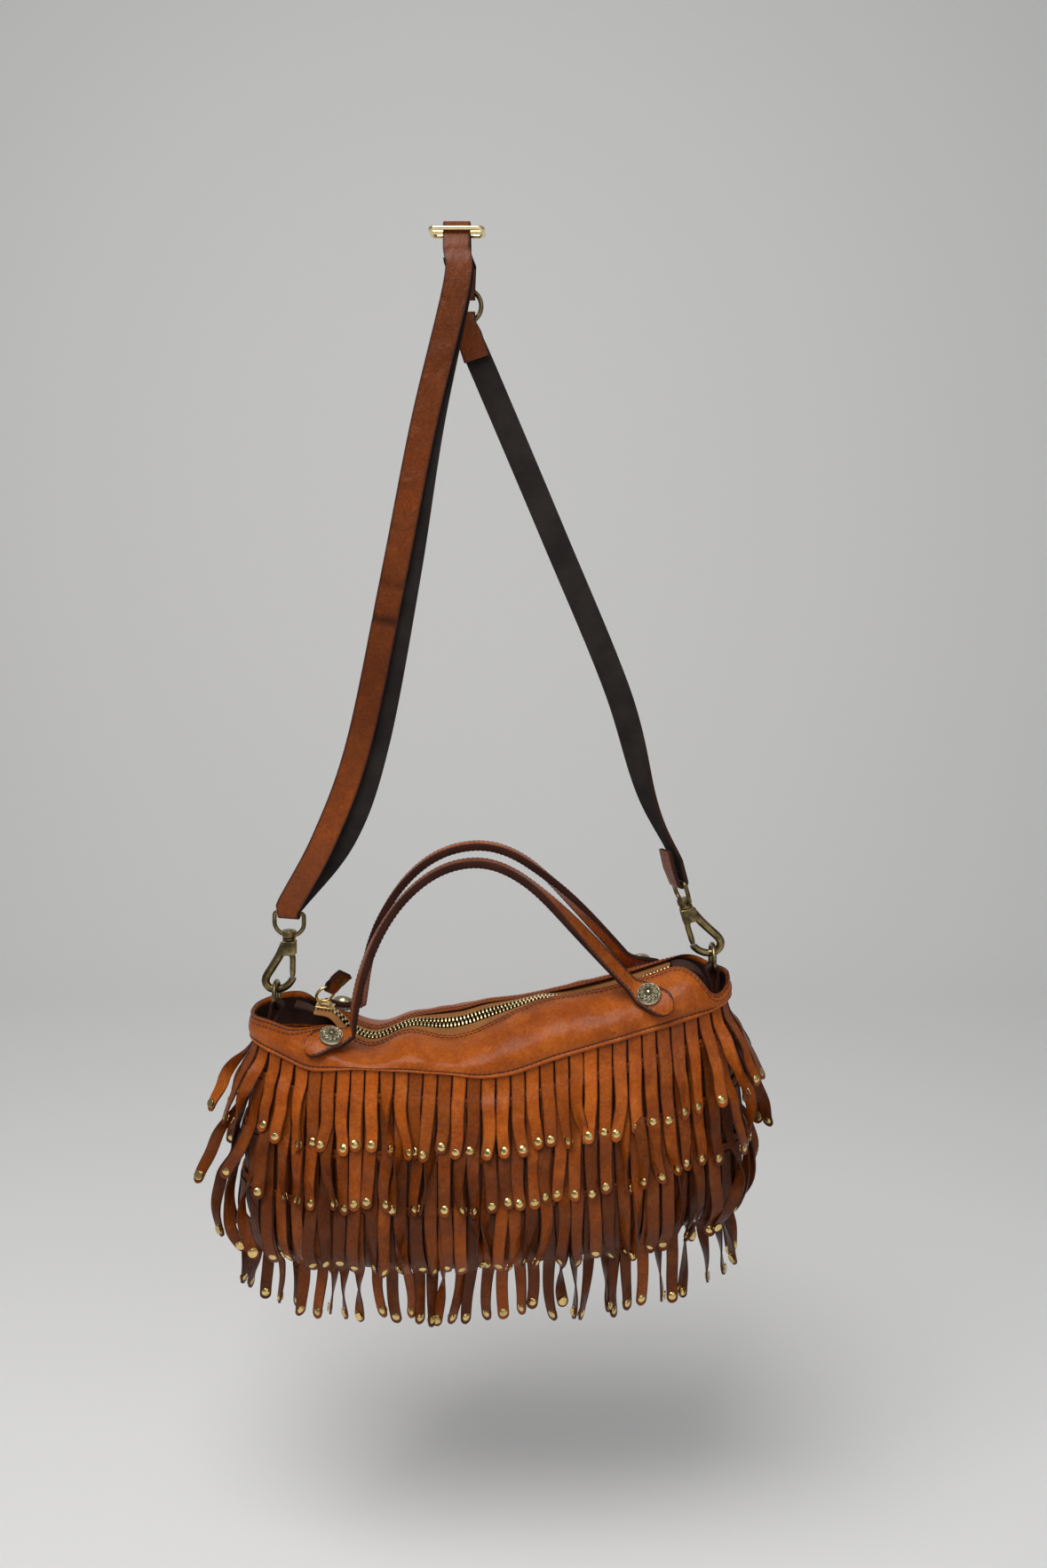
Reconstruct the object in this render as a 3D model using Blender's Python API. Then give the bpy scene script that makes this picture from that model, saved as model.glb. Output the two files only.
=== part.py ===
"""Fringed leather bag hanging by its shoulder strap.

Metres, +Z up, front towards -Y. The origin is the point on which the strap hangs.
Bag places are written as (u, v, h): u to the right of the bag's middle, v to its back
and h above the seam under the smooth top band.
"""
import math
import random

import bmesh
import bpy
from mathutils import Matrix, Vector

# Clearances
GAP = 0.0003              # between pieces that touch
LAYER_GAP = 0.0007        # between leather layers that lie on curved leather
RING_PLAY = 0.0012        # hook in its ring, so that it can turn

# Where and how the bag hangs
BAG_OFFSET = 0.017        # bag's middle to the right of the hanging point
SEAM_DROP = 0.487         # seam below the hanging point
HANG_SLOPE = 0.085        # right end hangs higher
SAG = 0.016               # the middle hangs lower than the ends
SAG_LEVEL = 0.35

# Bag body
HALF_LENGTH = 0.148
HALF_DEPTH = 0.039
PLAN_POWER = 0.72         # 1 is an ellipse, less is squarer
LEATHER = 0.0022
BODY_HEIGHT = 0.135
BODY_GROWTH = 0.0115      # how far the walls stand out at the widest
BODY_WIDEST = 0.72        # share of the height
BOTTOM_ROUND = 0.014
BODY_COLUMNS = 36
BODY_LEVELS = 5

# Fringe
STRIPS_PER_SIDE = 37
TIER_ROOTS = (0.0, 0.020, 0.055, 0.090)
TIER_ENDS = (0.046, 0.081, 0.116, 0.150)
FRINGE_LEATHER = 0.0011
HEADER_HEIGHT = 0.005
SLIT = 0.0008
STRIP_TAPER = 0.86
END_SPLAY = 0.013
FRONT_SPLAY = 0.002
STRIP_TWIST = math.radians(22)
STRIP_SWAY = 0.0018
STUD_RADIUS = 0.0031
STUD_HEIGHT = 0.0017
STUD_FROM_END = 0.0046
STUD_SIDES = 6

# Smooth top band
YOKE_HEIGHT = 0.025
YOKE_RISE = 0.009         # extra height near the right end
YOKE_RISE_PLACE = 0.098
YOKE_RISE_WIDTH = 0.042
YOKE_WAVE = 0.0018
YOKE_END_HEIGHT = 0.007
YOKE_END_START = 0.80     # share of the half length where the edge drops
YOKE_LEAN = 0.0045
YOKE_LIFT = 0.0021        # stands off the wall over the first fringe
YOKE_COLUMNS = 30
PIPING = 0.0009

# Zip
ZIP_LEFT = (-0.112, 0.0, 0.024)
ZIP_RIGHT = (0.116, 0.0, 0.031)
ZIP_SAG = 0.016
ZIP_SLOT = 0.0008         # half of the slot between the rows
TOOTH_REACH = 0.0024
TOOTH_PITCH = 0.0056
TOOTH_LENGTH = 0.0026
TOOTH_HALF_HEIGHT = 0.0012
TOOTH_SPINE = 0.0010
TAPE_THICKNESS = 0.0011
TAPE_COLUMNS = 20
TAPE_UNDER_EDGE = 0.0040   # sewn to the top band so far under its edge
TAPE_STRAIGHT = 0.0040     # flat width next to the teeth
END_TAB_LENGTH = 0.012
END_TAB_HALF_WIDTH = 0.0060
END_TAB_THICKNESS = 0.0022
END_TAB_GAP = 0.0008

# Zip slider and its pull
SLIDER_LENGTH = 0.0120
SLIDER_HALF_WIDTH = 0.0050
SLIDER_PLATE = 0.0012
SLIDER_CLEARANCE = 0.0005
SLIDER_POST_HALF = 0.00045
SLIDER_POST_LENGTH = 0.0030
BAIL_HALF_LENGTH = 0.0034
BAIL_RISE = 0.0030
BAIL_THICKNESS = 0.0012
PULL_RING_RADIUS = 0.0060
PULL_RING_WIRE = 0.0009
PULL_LEAN = math.radians(18)
PULL_TAB_LENGTH = 0.0245
PULL_TAB_HALF_WIDTH = 0.0054
PULL_TAB_LEATHER = 0.0017
PULL_RIVET_RADIUS = 0.0032
PULL_RIVET_HEIGHT = 0.0009

# Handles
HANDLE_SPAN = 0.099       # bag's middle to each concho
HANDLE_RISE = 0.101       # concho to the top of the arch
HANDLE_FRONT_DROP = 0.008 # the front one leans forward and lies lower
HANDLE_TOP_APART = 0.011
HANDLE_WIDTH = 0.0115
HANDLE_THICKNESS = 0.0044
HANDLE_POINTS = 15
TAB_WIDTH = 0.0175
TAB_THICKNESS = 0.0030
TAB_LIFT = 0.0017         # its flat back from the band's curved face
TAB_BELOW = 0.0165        # concho to the tip
TAB_ABOVE = 0.0150
TAB_SLANT = math.radians(42)
CONCHO_HEIGHT = 0.0115    # above the seam
CONCHO_RADIUS = 0.0083
CONCHO_DOME = 0.0036
CONCHO_RIM = 0.0011
CONCHO_SIDES = 12

# End loops and rings
RING_RADIUS = 0.0086
RING_WIRE = 0.0015
RING_U = (-0.1365, 0.1415)
RING_H = 0.0305
END_LOOP_WIDTH = 0.0090
END_LOOP_FOOT = -0.012
END_LOOP_BEND = 0.004
END_LOOP_FLARE = 1.2

# Snap hooks, measured from the gate's pin
HOOK_TILT = (math.radians(2), math.radians(17))
HOOK_WIRE = 0.0024
HOOK_HEAD_HALF = 0.0048
HOOK_HEAD_TOP = 0.0060
HOOK_HEAD_BOTTOM = 0.0036
HOOK_HEAD_DEPTH = 0.0036
HOOK_ARM = ((0.0046, 0.0012), (0.0076, -0.0052), (0.0118, -0.0125), (0.0152, -0.0185),
            (0.0156, -0.0226), (0.0132, -0.0258), (0.0090, -0.0268), (0.0048, -0.0258),
            (0.0012, -0.0232), (-0.0008, -0.0196))
HOOK_BAR_PLACE = (0.0090, -0.0268)
GATE_WIRE = 0.0020
GATE_X = -0.0014
GATE_TIP = 0.0178
GATE_HEAD_HALF = 0.0015
GATE_HEAD_RADIUS = 0.0028
FORK_SLOT_HALF = 0.0018
FORK_SLOT_INNER = 0.0042
FORK_SLOT_OPEN = 0.0080
FORK_SLOT_TOP = 0.0034    # clears the gate's head when it swings
PIN_RADIUS = 0.0011
PIN_SIDES = 10
SWIVEL_RADIUS = 0.0046
SWIVEL_HEIGHT = 0.0062
SWIVEL_STEM_RADIUS = 0.0016
SWIVEL_HEAD_RADIUS = 0.0026
SWIVEL_HEAD_HEIGHT = 0.0014
SWIVEL_X = 0.0010
EYE_HALF_WIDTH = 0.0096
EYE_CORNER = 0.0020
STRAP_PINCH = 0.86        # the strap is narrower where it passes a ring
EYE_HEIGHT = 0.0150
EYE_WIRE = 0.0014
EYE_TURN = (math.radians(8), math.radians(72))

# Strap
STRAP_WIDTH = 0.0156
STRAP_LEATHER = 0.0023
STRAP_FRONT_Y = -0.0125
STRAP_BACK_Y = 0.0125
STRAP_LEFT_ROUTE = ((-0.001, -0.030), (-0.0115, -0.107), (-0.038, -0.180), (-0.075, -0.322))
STRAP_RIGHT_ROUTE = ((0.0170, -0.080), (0.0560, -0.170), (0.0965, -0.266), (0.1160, -0.333))
RETURN_SHIFT = 0.0065     # the return run lies to the right of the front one
RETURN_TOP = -0.014
ORING_CENTRE = (0.0035, 0.0125, -0.0375)
ORING_RADIUS = 0.0098
ORING_WIRE = 0.0014
LOOP_END_LENGTH = 0.022

# Adjuster slide, which lies on what carries the strap
SLIDE_HALF_LENGTH = 0.0150
SLIDE_HALF_WIDTH = 0.0105
SLIDE_WIRE = 0.0013

COLOURS = {
    "leather": ((0.42, 0.135, 0.035), 0.42, 0.0),
    "leather_dark": ((0.055, 0.022, 0.014), 0.85, 0.0),
    "zip_tape": ((0.55, 0.27, 0.10), 0.8, 0.0),
    "antique_brass": ((0.16, 0.115, 0.05), 0.38, 1.0),
    "brass": ((0.72, 0.52, 0.20), 0.28, 1.0),
    "concho_metal": ((0.32, 0.29, 0.20), 0.42, 1.0),
}


def clear_scene():
    """Remove whatever the scene holds."""
    for item in list(bpy.data.objects):
        bpy.data.objects.remove(item, do_unlink=True)


def material(kind):
    """The material of a kind, made the first time it is asked for."""
    found = bpy.data.materials.get(kind)
    if found:
        return found
    colour, roughness, metallic = COLOURS[kind]
    made = bpy.data.materials.new(kind)
    made.use_nodes = True
    shader = made.node_tree.nodes["Principled BSDF"]
    shader.inputs["Base Color"].default_value = (*colour, 1.0)
    shader.inputs["Roughness"].default_value = roughness
    shader.inputs["Metallic"].default_value = metallic
    return made


def finish(name, mesh_data, kind, smooth_angle=35.0, origin=None):
    """Turn a bmesh into the named object, with its origin where it is asked for."""
    mesh = bpy.data.meshes.new(name)
    bmesh.ops.recalc_face_normals(mesh_data, faces=mesh_data.faces)
    mesh_data.to_mesh(mesh)
    mesh_data.free()
    mesh.materials.append(material(kind))
    if smooth_angle:
        mesh.shade_smooth()
        mesh.set_sharp_from_angle(angle=math.radians(smooth_angle))
    item = bpy.data.objects.new(name, mesh)
    if origin is not None:
        mesh.transform(Matrix.Translation(-Vector(origin)))
        item.location = origin
    bpy.context.scene.collection.objects.link(item)
    return item


def skin(mesh_data, rings, closed=False):
    """Join rings of points with faces. An open skin gets a cap at each end."""
    rows = [[mesh_data.verts.new(point) for point in ring] for ring in rings]
    count = len(rows)
    size = len(rows[0])
    for number in range(count if closed else count - 1):
        here = rows[number]
        there = rows[(number + 1) % count]
        for corner in range(size):
            after = (corner + 1) % size
            mesh_data.faces.new((here[corner], here[after], there[after], there[corner]))
    if not closed:
        mesh_data.faces.new(rows[0][::-1])
        mesh_data.faces.new(rows[-1])
    return rows


def ring_section(centre, across, up, half_width, half_height, sides):
    """A round or oval section of so many sides."""
    turn = math.pi / sides
    points = []
    for number in range(sides):
        angle = turn + 2 * math.pi * number / sides
        points.append(centre + across * (half_width * math.cos(angle))
                      + up * (half_height * math.sin(angle)))
    return points


def flat_section(centre, across, up, half_width, half_height, corner=0.0):
    """A rectangle, with its corners cut by so much where asked."""
    if not corner:
        shape = ((-1, -1), (1, -1), (1, 1), (-1, 1))
        return [centre + across * (x * half_width) + up * (y * half_height) for x, y in shape]
    points = []
    for x, y, first in ((-1, -1, True), (1, -1, False), (1, 1, True), (-1, 1, False)):
        cut_x = centre + across * (x * (half_width - corner)) + up * (y * half_height)
        cut_y = centre + across * (x * half_width) + up * (y * (half_height - corner))
        points += [cut_y, cut_x] if first else [cut_x, cut_y]
    return points


def smooth_route(points, steps):
    """A smooth curve through the points, with so many steps between two of them."""
    route = [Vector(point) for point in points]
    padded = [2 * route[0] - route[1]] + route + [2 * route[-1] - route[-2]]
    curve = []
    for number in range(1, len(padded) - 2):
        before, start, end, after = padded[number - 1:number + 3]
        for step in range(steps):
            t = step / steps
            curve.append(0.5 * (2 * start + (end - before) * t
                                + (2 * before - 5 * start + 4 * end - after) * t ** 2
                                + (3 * start - before - 3 * end + after) * t ** 3))
    curve.append(route[-1])
    return curve


def tangents(curve):
    """The direction of travel at each point."""
    result = []
    last = len(curve) - 1
    for number in range(len(curve)):
        ahead = curve[min(number + 1, last)]
        behind = curve[max(number - 1, 0)]
        result.append((ahead - behind).normalized())
    return result


def ease(value):
    """0 to 1 with a soft start and end."""
    value = min(1.0, max(0.0, value))
    return value * value * (3 - 2 * value)


def hang(u, v, h):
    """World place of a point of the bag, as it hangs."""
    share = u / HALF_LENGTH
    drop = SAG * (min(share * share, 1.2) - SAG_LEVEL)
    return Vector((BAG_OFFSET + u, v, -SEAM_DROP + h + HANG_SLOPE * u + drop))


def hang_slope(u):
    """Rise of the hanging bag for each metre to the right."""
    return HANG_SLOPE + 2 * SAG * u / HALF_LENGTH ** 2


def plan_point(angle):
    """Outline of the bag seen from above, at the seam."""
    across = math.copysign(abs(math.cos(angle)) ** PLAN_POWER, math.cos(angle))
    depth = math.copysign(abs(math.sin(angle)) ** PLAN_POWER, math.sin(angle))
    return Vector((HALF_LENGTH * across, HALF_DEPTH * depth))


def make_outline():
    """Points of the outline by their distance round it, from the right end over the back."""
    dense = 2400
    points = [plan_point(2 * math.pi * number / dense) for number in range(dense + 1)]
    lengths = [0.0]
    for start, end in zip(points, points[1:]):
        lengths.append(lengths[-1] + (end - start).length)
    return points, lengths


OUTLINE, OUTLINE_LENGTHS = make_outline()
PERIMETER = OUTLINE_LENGTHS[-1]


def outline_at(distance):
    """Plan point and outward direction at a distance round the outline."""
    distance %= PERIMETER
    low = 0
    high = len(OUTLINE_LENGTHS) - 1
    while high - low > 1:
        middle = (low + high) // 2
        if OUTLINE_LENGTHS[middle] <= distance:
            low = middle
        else:
            high = middle
    start = OUTLINE[low]
    end = OUTLINE[high]
    share = (distance - OUTLINE_LENGTHS[low]) / max(OUTLINE_LENGTHS[high] - OUTLINE_LENGTHS[low], 1e-9)
    reach = 12
    ahead = OUTLINE[(low + reach) % (len(OUTLINE) - 1)]
    behind = OUTLINE[(low - reach) % (len(OUTLINE) - 1)]
    along = (ahead - behind).normalized()
    return start.lerp(end, share), Vector((along.y, -along.x))


def wall_point(distance, h, outward):
    """World place on the wall at a distance round it and a height, moved outwards."""
    point, normal = outline_at(distance)
    place = point + normal * outward
    return hang(place.x, place.y, h)


def wall_growth(h):
    """How far the wall stands out at a height under the seam."""
    depth = min(max(-h / BODY_HEIGHT, 0.0), 1.0)
    if depth < BODY_WIDEST:
        return BODY_GROWTH * math.sin(0.5 * math.pi * depth / BODY_WIDEST)
    past = (depth - BODY_WIDEST) / (1 - BODY_WIDEST)
    return BODY_GROWTH - BOTTOM_ROUND * past ** 3


def build_body():
    """The bag's leather shell, open at the top."""
    data = bmesh.new()
    heights = [0.0]
    for level in range(1, BODY_LEVELS + 1):
        heights.append(-BODY_HEIGHT * math.sin(0.5 * math.pi * level / BODY_LEVELS) ** 0.9)
    places = [PERIMETER * number / BODY_COLUMNS for number in range(BODY_COLUMNS)]
    outer = [[wall_point(place, h, wall_growth(h)) for place in places] for h in heights]
    inner = [[wall_point(place, h, wall_growth(h) - LEATHER) for place in places]
             for h in heights[:-1]]
    inner.append([wall_point(place, heights[-1] + LEATHER, wall_growth(heights[-1]) - LEATHER)
                  for place in places])
    rings = outer[::-1] + inner
    rows = [[data.verts.new(point) for point in ring] for ring in rings]
    for here, there in zip(rows, rows[1:]):
        for number in range(BODY_COLUMNS):
            after = (number + 1) % BODY_COLUMNS
            data.faces.new((here[number], here[after], there[after], there[number]))
    for row in (rows[0], rows[-1]):
        half = BODY_COLUMNS // 2
        data.faces.new((row[0], row[1], row[-1]))
        for number in range(1, half - 1):
            data.faces.new((row[number], row[number + 1], row[-number - 1], row[-number]))
        data.faces.new((row[half - 1], row[half], row[half + 1]))
    return finish("bag_body", data, "leather", 50)


class Strip:
    """One slit strip of the fringe: where it starts and ends, seen from the wall."""

    def __init__(self, tier, side, number, rng, under):
        side_length = PERIMETER / 2
        self.pitch = side_length / STRIPS_PER_SIDE
        self.middle = side * side_length + (number + 0.5) * self.pitch
        self.top = -TIER_ROOTS[tier]
        self.bottom = -TIER_ENDS[tier]
        self.half = (self.pitch - SLIT) / 2
        self.start_out = wall_growth(self.top) + LAYER_GAP
        self.twist = rng.uniform(-1, 1) * STRIP_TWIST
        wave = math.sin(0.55 * number + 1.9 * tier + 2.4 * side)
        self.sway = STRIP_SWAY * wave
        plan, _ = outline_at(self.middle)
        end_share = ease((abs(plan.x) / HALF_LENGTH - 0.80) / 0.18)
        spare = FRONT_SPLAY + (END_SPLAY - FRONT_SPLAY) * end_share
        self.bottom += 0.002 * rng.uniform(-1, 1)
        lift = self.half * STRIP_TAPER * abs(math.sin(self.twist))
        need = 0.0
        for step in range(1, 9):
            share = step / 8
            h = self.top + (self.bottom - self.top) * share
            floor = max([wall_growth(h)] + [other.outer(h) for other in under]) + LAYER_GAP
            need = max(need, (floor + lift * share - self.start_out) / share)
        self.lean = need + spare * rng.random()
        self.lift = lift

    def outer(self, h):
        """Outermost reach at a height, for what lies over it."""
        if h > self.top:
            if h < self.top + HEADER_HEIGHT:
                return wall_growth(h) + LAYER_GAP + FRINGE_LEATHER
            return 0.0
        share = min(1.0, (h - self.top) / (self.bottom - self.top))
        return self.start_out + self.lean * share + self.lift * share + FRINGE_LEATHER

    def end_frame(self):
        """Middle of the lower edge, and the directions along and out of the strip."""
        plan, normal = outline_at(self.middle)
        along = Vector((-normal.y, normal.x))
        out = self.start_out + self.lean
        place = plan + normal * out + along * self.sway
        tangent = Vector((along.x, along.y, hang_slope(plan.x) * along.x)).normalized()
        outward = Vector((normal.x, normal.y, 0.0))
        across = tangent * math.cos(self.twist) + outward * math.sin(self.twist)
        facing = outward * math.cos(self.twist) - tangent * math.sin(self.twist)
        return hang(place.x, place.y, self.bottom), across, facing


def plan_fringe():
    """Every strip of every tier and side, from the lowest tier up."""
    rng = random.Random(11)
    strips = {}
    for tier in reversed(range(len(TIER_ROOTS))):
        for side in (0, 1):
            for number in range(STRIPS_PER_SIDE):
                under = []
                if tier + 1 < len(TIER_ROOTS):
                    around = range(max(0, number - 1), min(STRIPS_PER_SIDE, number + 2))
                    under = [strips[tier + 1, side, other] for other in around]
                strips[tier, side, number] = Strip(tier, side, number, rng, under)
    return strips


def build_tier(tier, side, name, strips):
    """One band of fringe: its header, its strips and their studs."""
    data = bmesh.new()
    row = [strips[tier, side, number] for number in range(STRIPS_PER_SIDE)]
    header_top = row[0].top + (HEADER_HEIGHT if tier else 0.0)
    levels = (header_top - GAP, row[0].top - (0.0 if tier else HEADER_HEIGHT / 2))
    columns = []
    for strip in row:
        for edge in (-strip.half, strip.half):
            place = strip.middle + edge
            corner = []
            for h in levels:
                base = wall_growth(h) + LAYER_GAP
                corner.append((data.verts.new(wall_point(place, h, base + FRINGE_LEATHER)),
                               data.verts.new(wall_point(place, h, base))))
            columns.append(corner)
    for number in range(len(columns) - 1):
        (top_a, low_a), (top_b, low_b) = columns[number], columns[number + 1]
        data.faces.new((top_a[0], low_a[0], low_b[0], top_b[0]))
        data.faces.new((top_a[1], top_b[1], low_b[1], low_a[1]))
        data.faces.new((top_a[0], top_b[0], top_b[1], top_a[1]))
        if number % 2:
            data.faces.new((low_a[0], low_a[1], low_b[1], low_b[0]))
    for corner in (columns[0], columns[-1]):
        (top, low) = corner
        data.faces.new((top[0], top[1], low[1], low[0]))
    for number, strip in enumerate(row):
        low_a = columns[2 * number][1]
        low_b = columns[2 * number + 1][1]
        add_strip(data, strip, low_a, low_b)
    return finish(name, data, "leather", 30)


def add_strip(data, strip, root_a, root_b):
    """One strip under its header, with the stud near its end."""
    place, across, facing = strip.end_frame()
    half = strip.half * STRIP_TAPER
    outer = [data.verts.new(place + across * (half * side) + facing * FRINGE_LEATHER)
             for side in (-1, 1)]
    inner = [data.verts.new(place + across * (half * side)) for side in (-1, 1)]
    data.faces.new((root_a[1], root_b[1], inner[1], inner[0]))
    data.faces.new((root_a[0], root_a[1], inner[0], outer[0]))
    data.faces.new((root_b[0], outer[1], inner[1], root_b[1]))
    data.faces.new((outer[0], inner[0], inner[1], outer[1]))
    root_mid = (root_a[0].co + root_b[0].co) / 2
    end_mid = (outer[0].co + outer[1].co) / 2
    up = (root_mid - end_mid)
    share = STUD_FROM_END / up.length
    centre = end_mid + up * share
    up.normalize()
    here_across = (outer[1].co.lerp(root_b[0].co, share)
                   - outer[0].co.lerp(root_a[0].co, share)).normalized()
    rim = []
    for corner in range(STUD_SIDES):
        angle = 2 * math.pi * (corner + 0.5) / STUD_SIDES
        rim.append(data.verts.new(centre + here_across * (STUD_RADIUS * math.cos(angle))
                                  + up * (STUD_RADIUS * math.sin(angle))))
    peak = data.verts.new(centre + here_across.cross(up) * STUD_HEIGHT)
    if (peak.co - centre).dot(facing) < 0:
        peak.co = 2 * centre - peak.co
    for corner in range(STUD_SIDES):
        data.faces.new((rim[corner], rim[(corner + 1) % STUD_SIDES], peak))
    frame = (root_b[0], root_a[0], outer[0], outer[1])
    quarter = (rim[0], rim[2], rim[3], rim[5])
    data.faces.new((frame[0], rim[1], rim[0]))
    data.faces.new((frame[0], frame[1], rim[1]))
    data.faces.new((frame[1], quarter[1], rim[1]))
    data.faces.new((frame[1], frame[2], quarter[2], quarter[1]))
    data.faces.new((frame[2], rim[4], quarter[2]))
    data.faces.new((frame[2], frame[3], rim[4]))
    data.faces.new((frame[3], quarter[3], rim[4]))
    data.faces.new((frame[3], frame[0], quarter[0], quarter[3]))


def yoke_top(u):
    """Height of the top band's upper edge along the bag."""
    rise = YOKE_RISE * math.exp(-((u - YOKE_RISE_PLACE) / YOKE_RISE_WIDTH) ** 2)
    wave = YOKE_WAVE * math.sin(u * 62.0 + 0.9)
    height = YOKE_HEIGHT + rise + wave
    end_share = ease((abs(u) / HALF_LENGTH - YOKE_END_START) / (1 - YOKE_END_START))
    return height + (YOKE_END_HEIGHT - height) * end_share


def yoke_out(share):
    """Outward place of the top band's outer face, from its seam at 0 to its edge at 1."""
    share = max(share, 0.0)
    bulge = 0.0012 * math.sin(math.pi * min(share * 1.2, 1.0))
    return YOKE_LIFT + LEATHER + bulge - YOKE_LEAN * share ** 1.4


def build_yoke(name, side):
    """Half of the smooth top band, from the right end round to the left end."""
    data = bmesh.new()
    rings = []
    half = PERIMETER / 2
    shares = (0.0, 0.12, 0.5, 1.0)
    for number in range(YOKE_COLUMNS + 1):
        place = side * half + GAP + (half - 2 * GAP) * number / YOKE_COLUMNS
        plan, _ = outline_at(place)
        top = yoke_top(plan.x)
        outer = []
        inner = []
        for index, share in enumerate(shares):
            extra = 0.0 if index else PIPING
            h = GAP + (top - GAP) * share
            outer.append(wall_point(place, h, yoke_out(share) + extra))
            inner.append(wall_point(place, h, yoke_out(share) - LEATHER))
        rings.append(outer + inner[::-1])
    skin(data, rings)
    return finish(name, data, "leather", 40)


def zip_frame():
    """Arc of the zip: its centre, radius, half angle and its three directions at the middle."""
    left = hang(*ZIP_LEFT)
    right = hang(*ZIP_RIGHT)
    chord = right - left
    along = chord.normalized()
    straight = Vector((0.0, 0.0, -1.0))
    down = (straight - along * straight.dot(along)).normalized()
    radius = (chord.length ** 2 / 4 + ZIP_SAG ** 2) / (2 * ZIP_SAG)
    centre = (left + right) / 2 + down * (ZIP_SAG - radius)
    return centre, radius, math.asin(chord.length / 2 / radius), along, down


ZIP_CENTRE, ZIP_RADIUS, ZIP_HALF_ANGLE, ZIP_ALONG, ZIP_DOWN = zip_frame()
ZIP_AXIS = ZIP_DOWN.cross(ZIP_ALONG).normalized()     # towards the front


def zip_place(length, across=0.0, up=0.0):
    """World place at a length along the zip, sideways to the front and above it."""
    angle = length / ZIP_RADIUS - ZIP_HALF_ANGLE
    out = ZIP_DOWN * math.cos(angle) + ZIP_ALONG * math.sin(angle)
    return ZIP_CENTRE + out * (ZIP_RADIUS - up) + ZIP_AXIS * across


ZIP_LENGTH = 2 * ZIP_HALF_ANGLE * ZIP_RADIUS


def build_teeth(name, side):
    """One row of teeth on its bead."""
    data = bmesh.new()
    near = ZIP_SLOT
    root = near + TOOTH_REACH
    back = root + TOOTH_SPINE
    count = int(ZIP_LENGTH / TOOTH_PITCH)
    cuts = []
    for number in range(count):
        start = number * TOOTH_PITCH + (TOOTH_PITCH - TOOTH_LENGTH) / 2
        if side < 0:
            start += TOOTH_PITCH / 2 - (TOOTH_PITCH - TOOTH_LENGTH) / 2
        cuts.append((start, True))
        cuts.append((min(start + TOOTH_LENGTH, ZIP_LENGTH - GAP), False))
    stations = [(0.0, False)] + [cut for cut in cuts if cut[0] < ZIP_LENGTH] + [(ZIP_LENGTH, False)]
    columns = []
    for length, _ in stations:
        corner = {}
        for label, across in (("near", near), ("root", root), ("back", back)):
            for level in (-1, 1):
                place = zip_place(length, side * across, level * TOOTH_HALF_HEIGHT)
                corner[label, level] = place
        columns.append(corner)
    made = [{key: data.verts.new(column[key]) for key in
             [("root", -1), ("root", 1), ("back", -1), ("back", 1)]} for column in columns]
    for number in range(len(stations) - 1):
        here = made[number]
        there = made[number + 1]
        data.faces.new((here["back", -1], there["back", -1], there["back", 1], here["back", 1]))
        for level in (-1, 1):
            data.faces.new((here["root", level], there["root", level],
                            there["back", level], here["back", level]))
        if not stations[number][1]:
            data.faces.new((here["root", -1], there["root", -1],
                            there["root", 1], here["root", 1]))
            continue
        tip_here = {level: data.verts.new(columns[number]["near", level]) for level in (-1, 1)}
        tip_there = {level: data.verts.new(columns[number + 1]["near", level])
                     for level in (-1, 1)}
        data.faces.new((tip_here[-1], tip_there[-1], tip_there[1], tip_here[1]))
        for level in (-1, 1):
            data.faces.new((tip_here[level], tip_there[level],
                            there["root", level], here["root", level]))
        data.faces.new((tip_here[-1], tip_here[1], here["root", 1], here["root", -1]))
        data.faces.new((tip_there[-1], tip_there[1], there["root", 1], there["root", -1]))
    for column in (made[0], made[-1]):
        data.faces.new((column["root", -1], column["root", 1],
                        column["back", 1], column["back", -1]))
    return finish(name, data, "brass", 30)


def build_tape(name, side):
    """Half of the zip tape, from the top band's edge to its teeth."""
    data = bmesh.new()
    rings = []
    near = ZIP_SLOT + TOOTH_REACH + TOOTH_SPINE + GAP
    straight = near + TAPE_STRAIGHT
    half = TAPE_THICKNESS / 2
    sign = -1 if side > 0 else 1
    for number in range(TAPE_COLUMNS + 1):
        length = ZIP_LENGTH * number / TAPE_COLUMNS
        middle = zip_place(length)
        u = middle.x - BAG_OFFSET
        top = yoke_top(u) - TAPE_UNDER_EDGE
        reach = edge_plan(u) + yoke_out(top / yoke_top(u)) - LEATHER - LAYER_GAP
        edge = hang(u, sign * reach, top)
        upper = [zip_place(length, side * near, half), zip_place(length, side * straight, half)]
        lower = [zip_place(length, side * near, -half), zip_place(length, side * straight, -half)]
        bend = upper[1].lerp(edge, 0.5) + Vector((0, 0, 0.002))
        step = Vector((0, 0, TAPE_THICKNESS))
        upper += [bend, edge]
        lower += [bend - step, edge - step]
        rings.append(upper + lower[::-1])
    skin(data, rings)
    return finish(name, data, "zip_tape", 60)


def edge_plan(u):
    """Half depth of the outline at a place along the bag."""
    share = min(abs(u) / HALF_LENGTH, 0.999)
    angle = math.acos(share ** (1 / PLAN_POWER))
    return HALF_DEPTH * math.sin(angle) ** PLAN_POWER


def build_end_tab(name, start, end):
    """Leather tab sewn over an end of the zip."""
    data = bmesh.new()
    rings = []
    for length, share in ((start, 0.8), (start + (end - start) * 0.25, 1.0), (end, 1.0)):
        half = END_TAB_HALF_WIDTH * share
        rings.append([zip_place(length, across, up) for across, up in
                      ((-half, -END_TAB_THICKNESS / 2), (half, -END_TAB_THICKNESS / 2),
                       (half, END_TAB_THICKNESS / 2), (-half, END_TAB_THICKNESS / 2))])
    skin(data, rings)
    return finish(name, data, "leather", 30)


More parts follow.
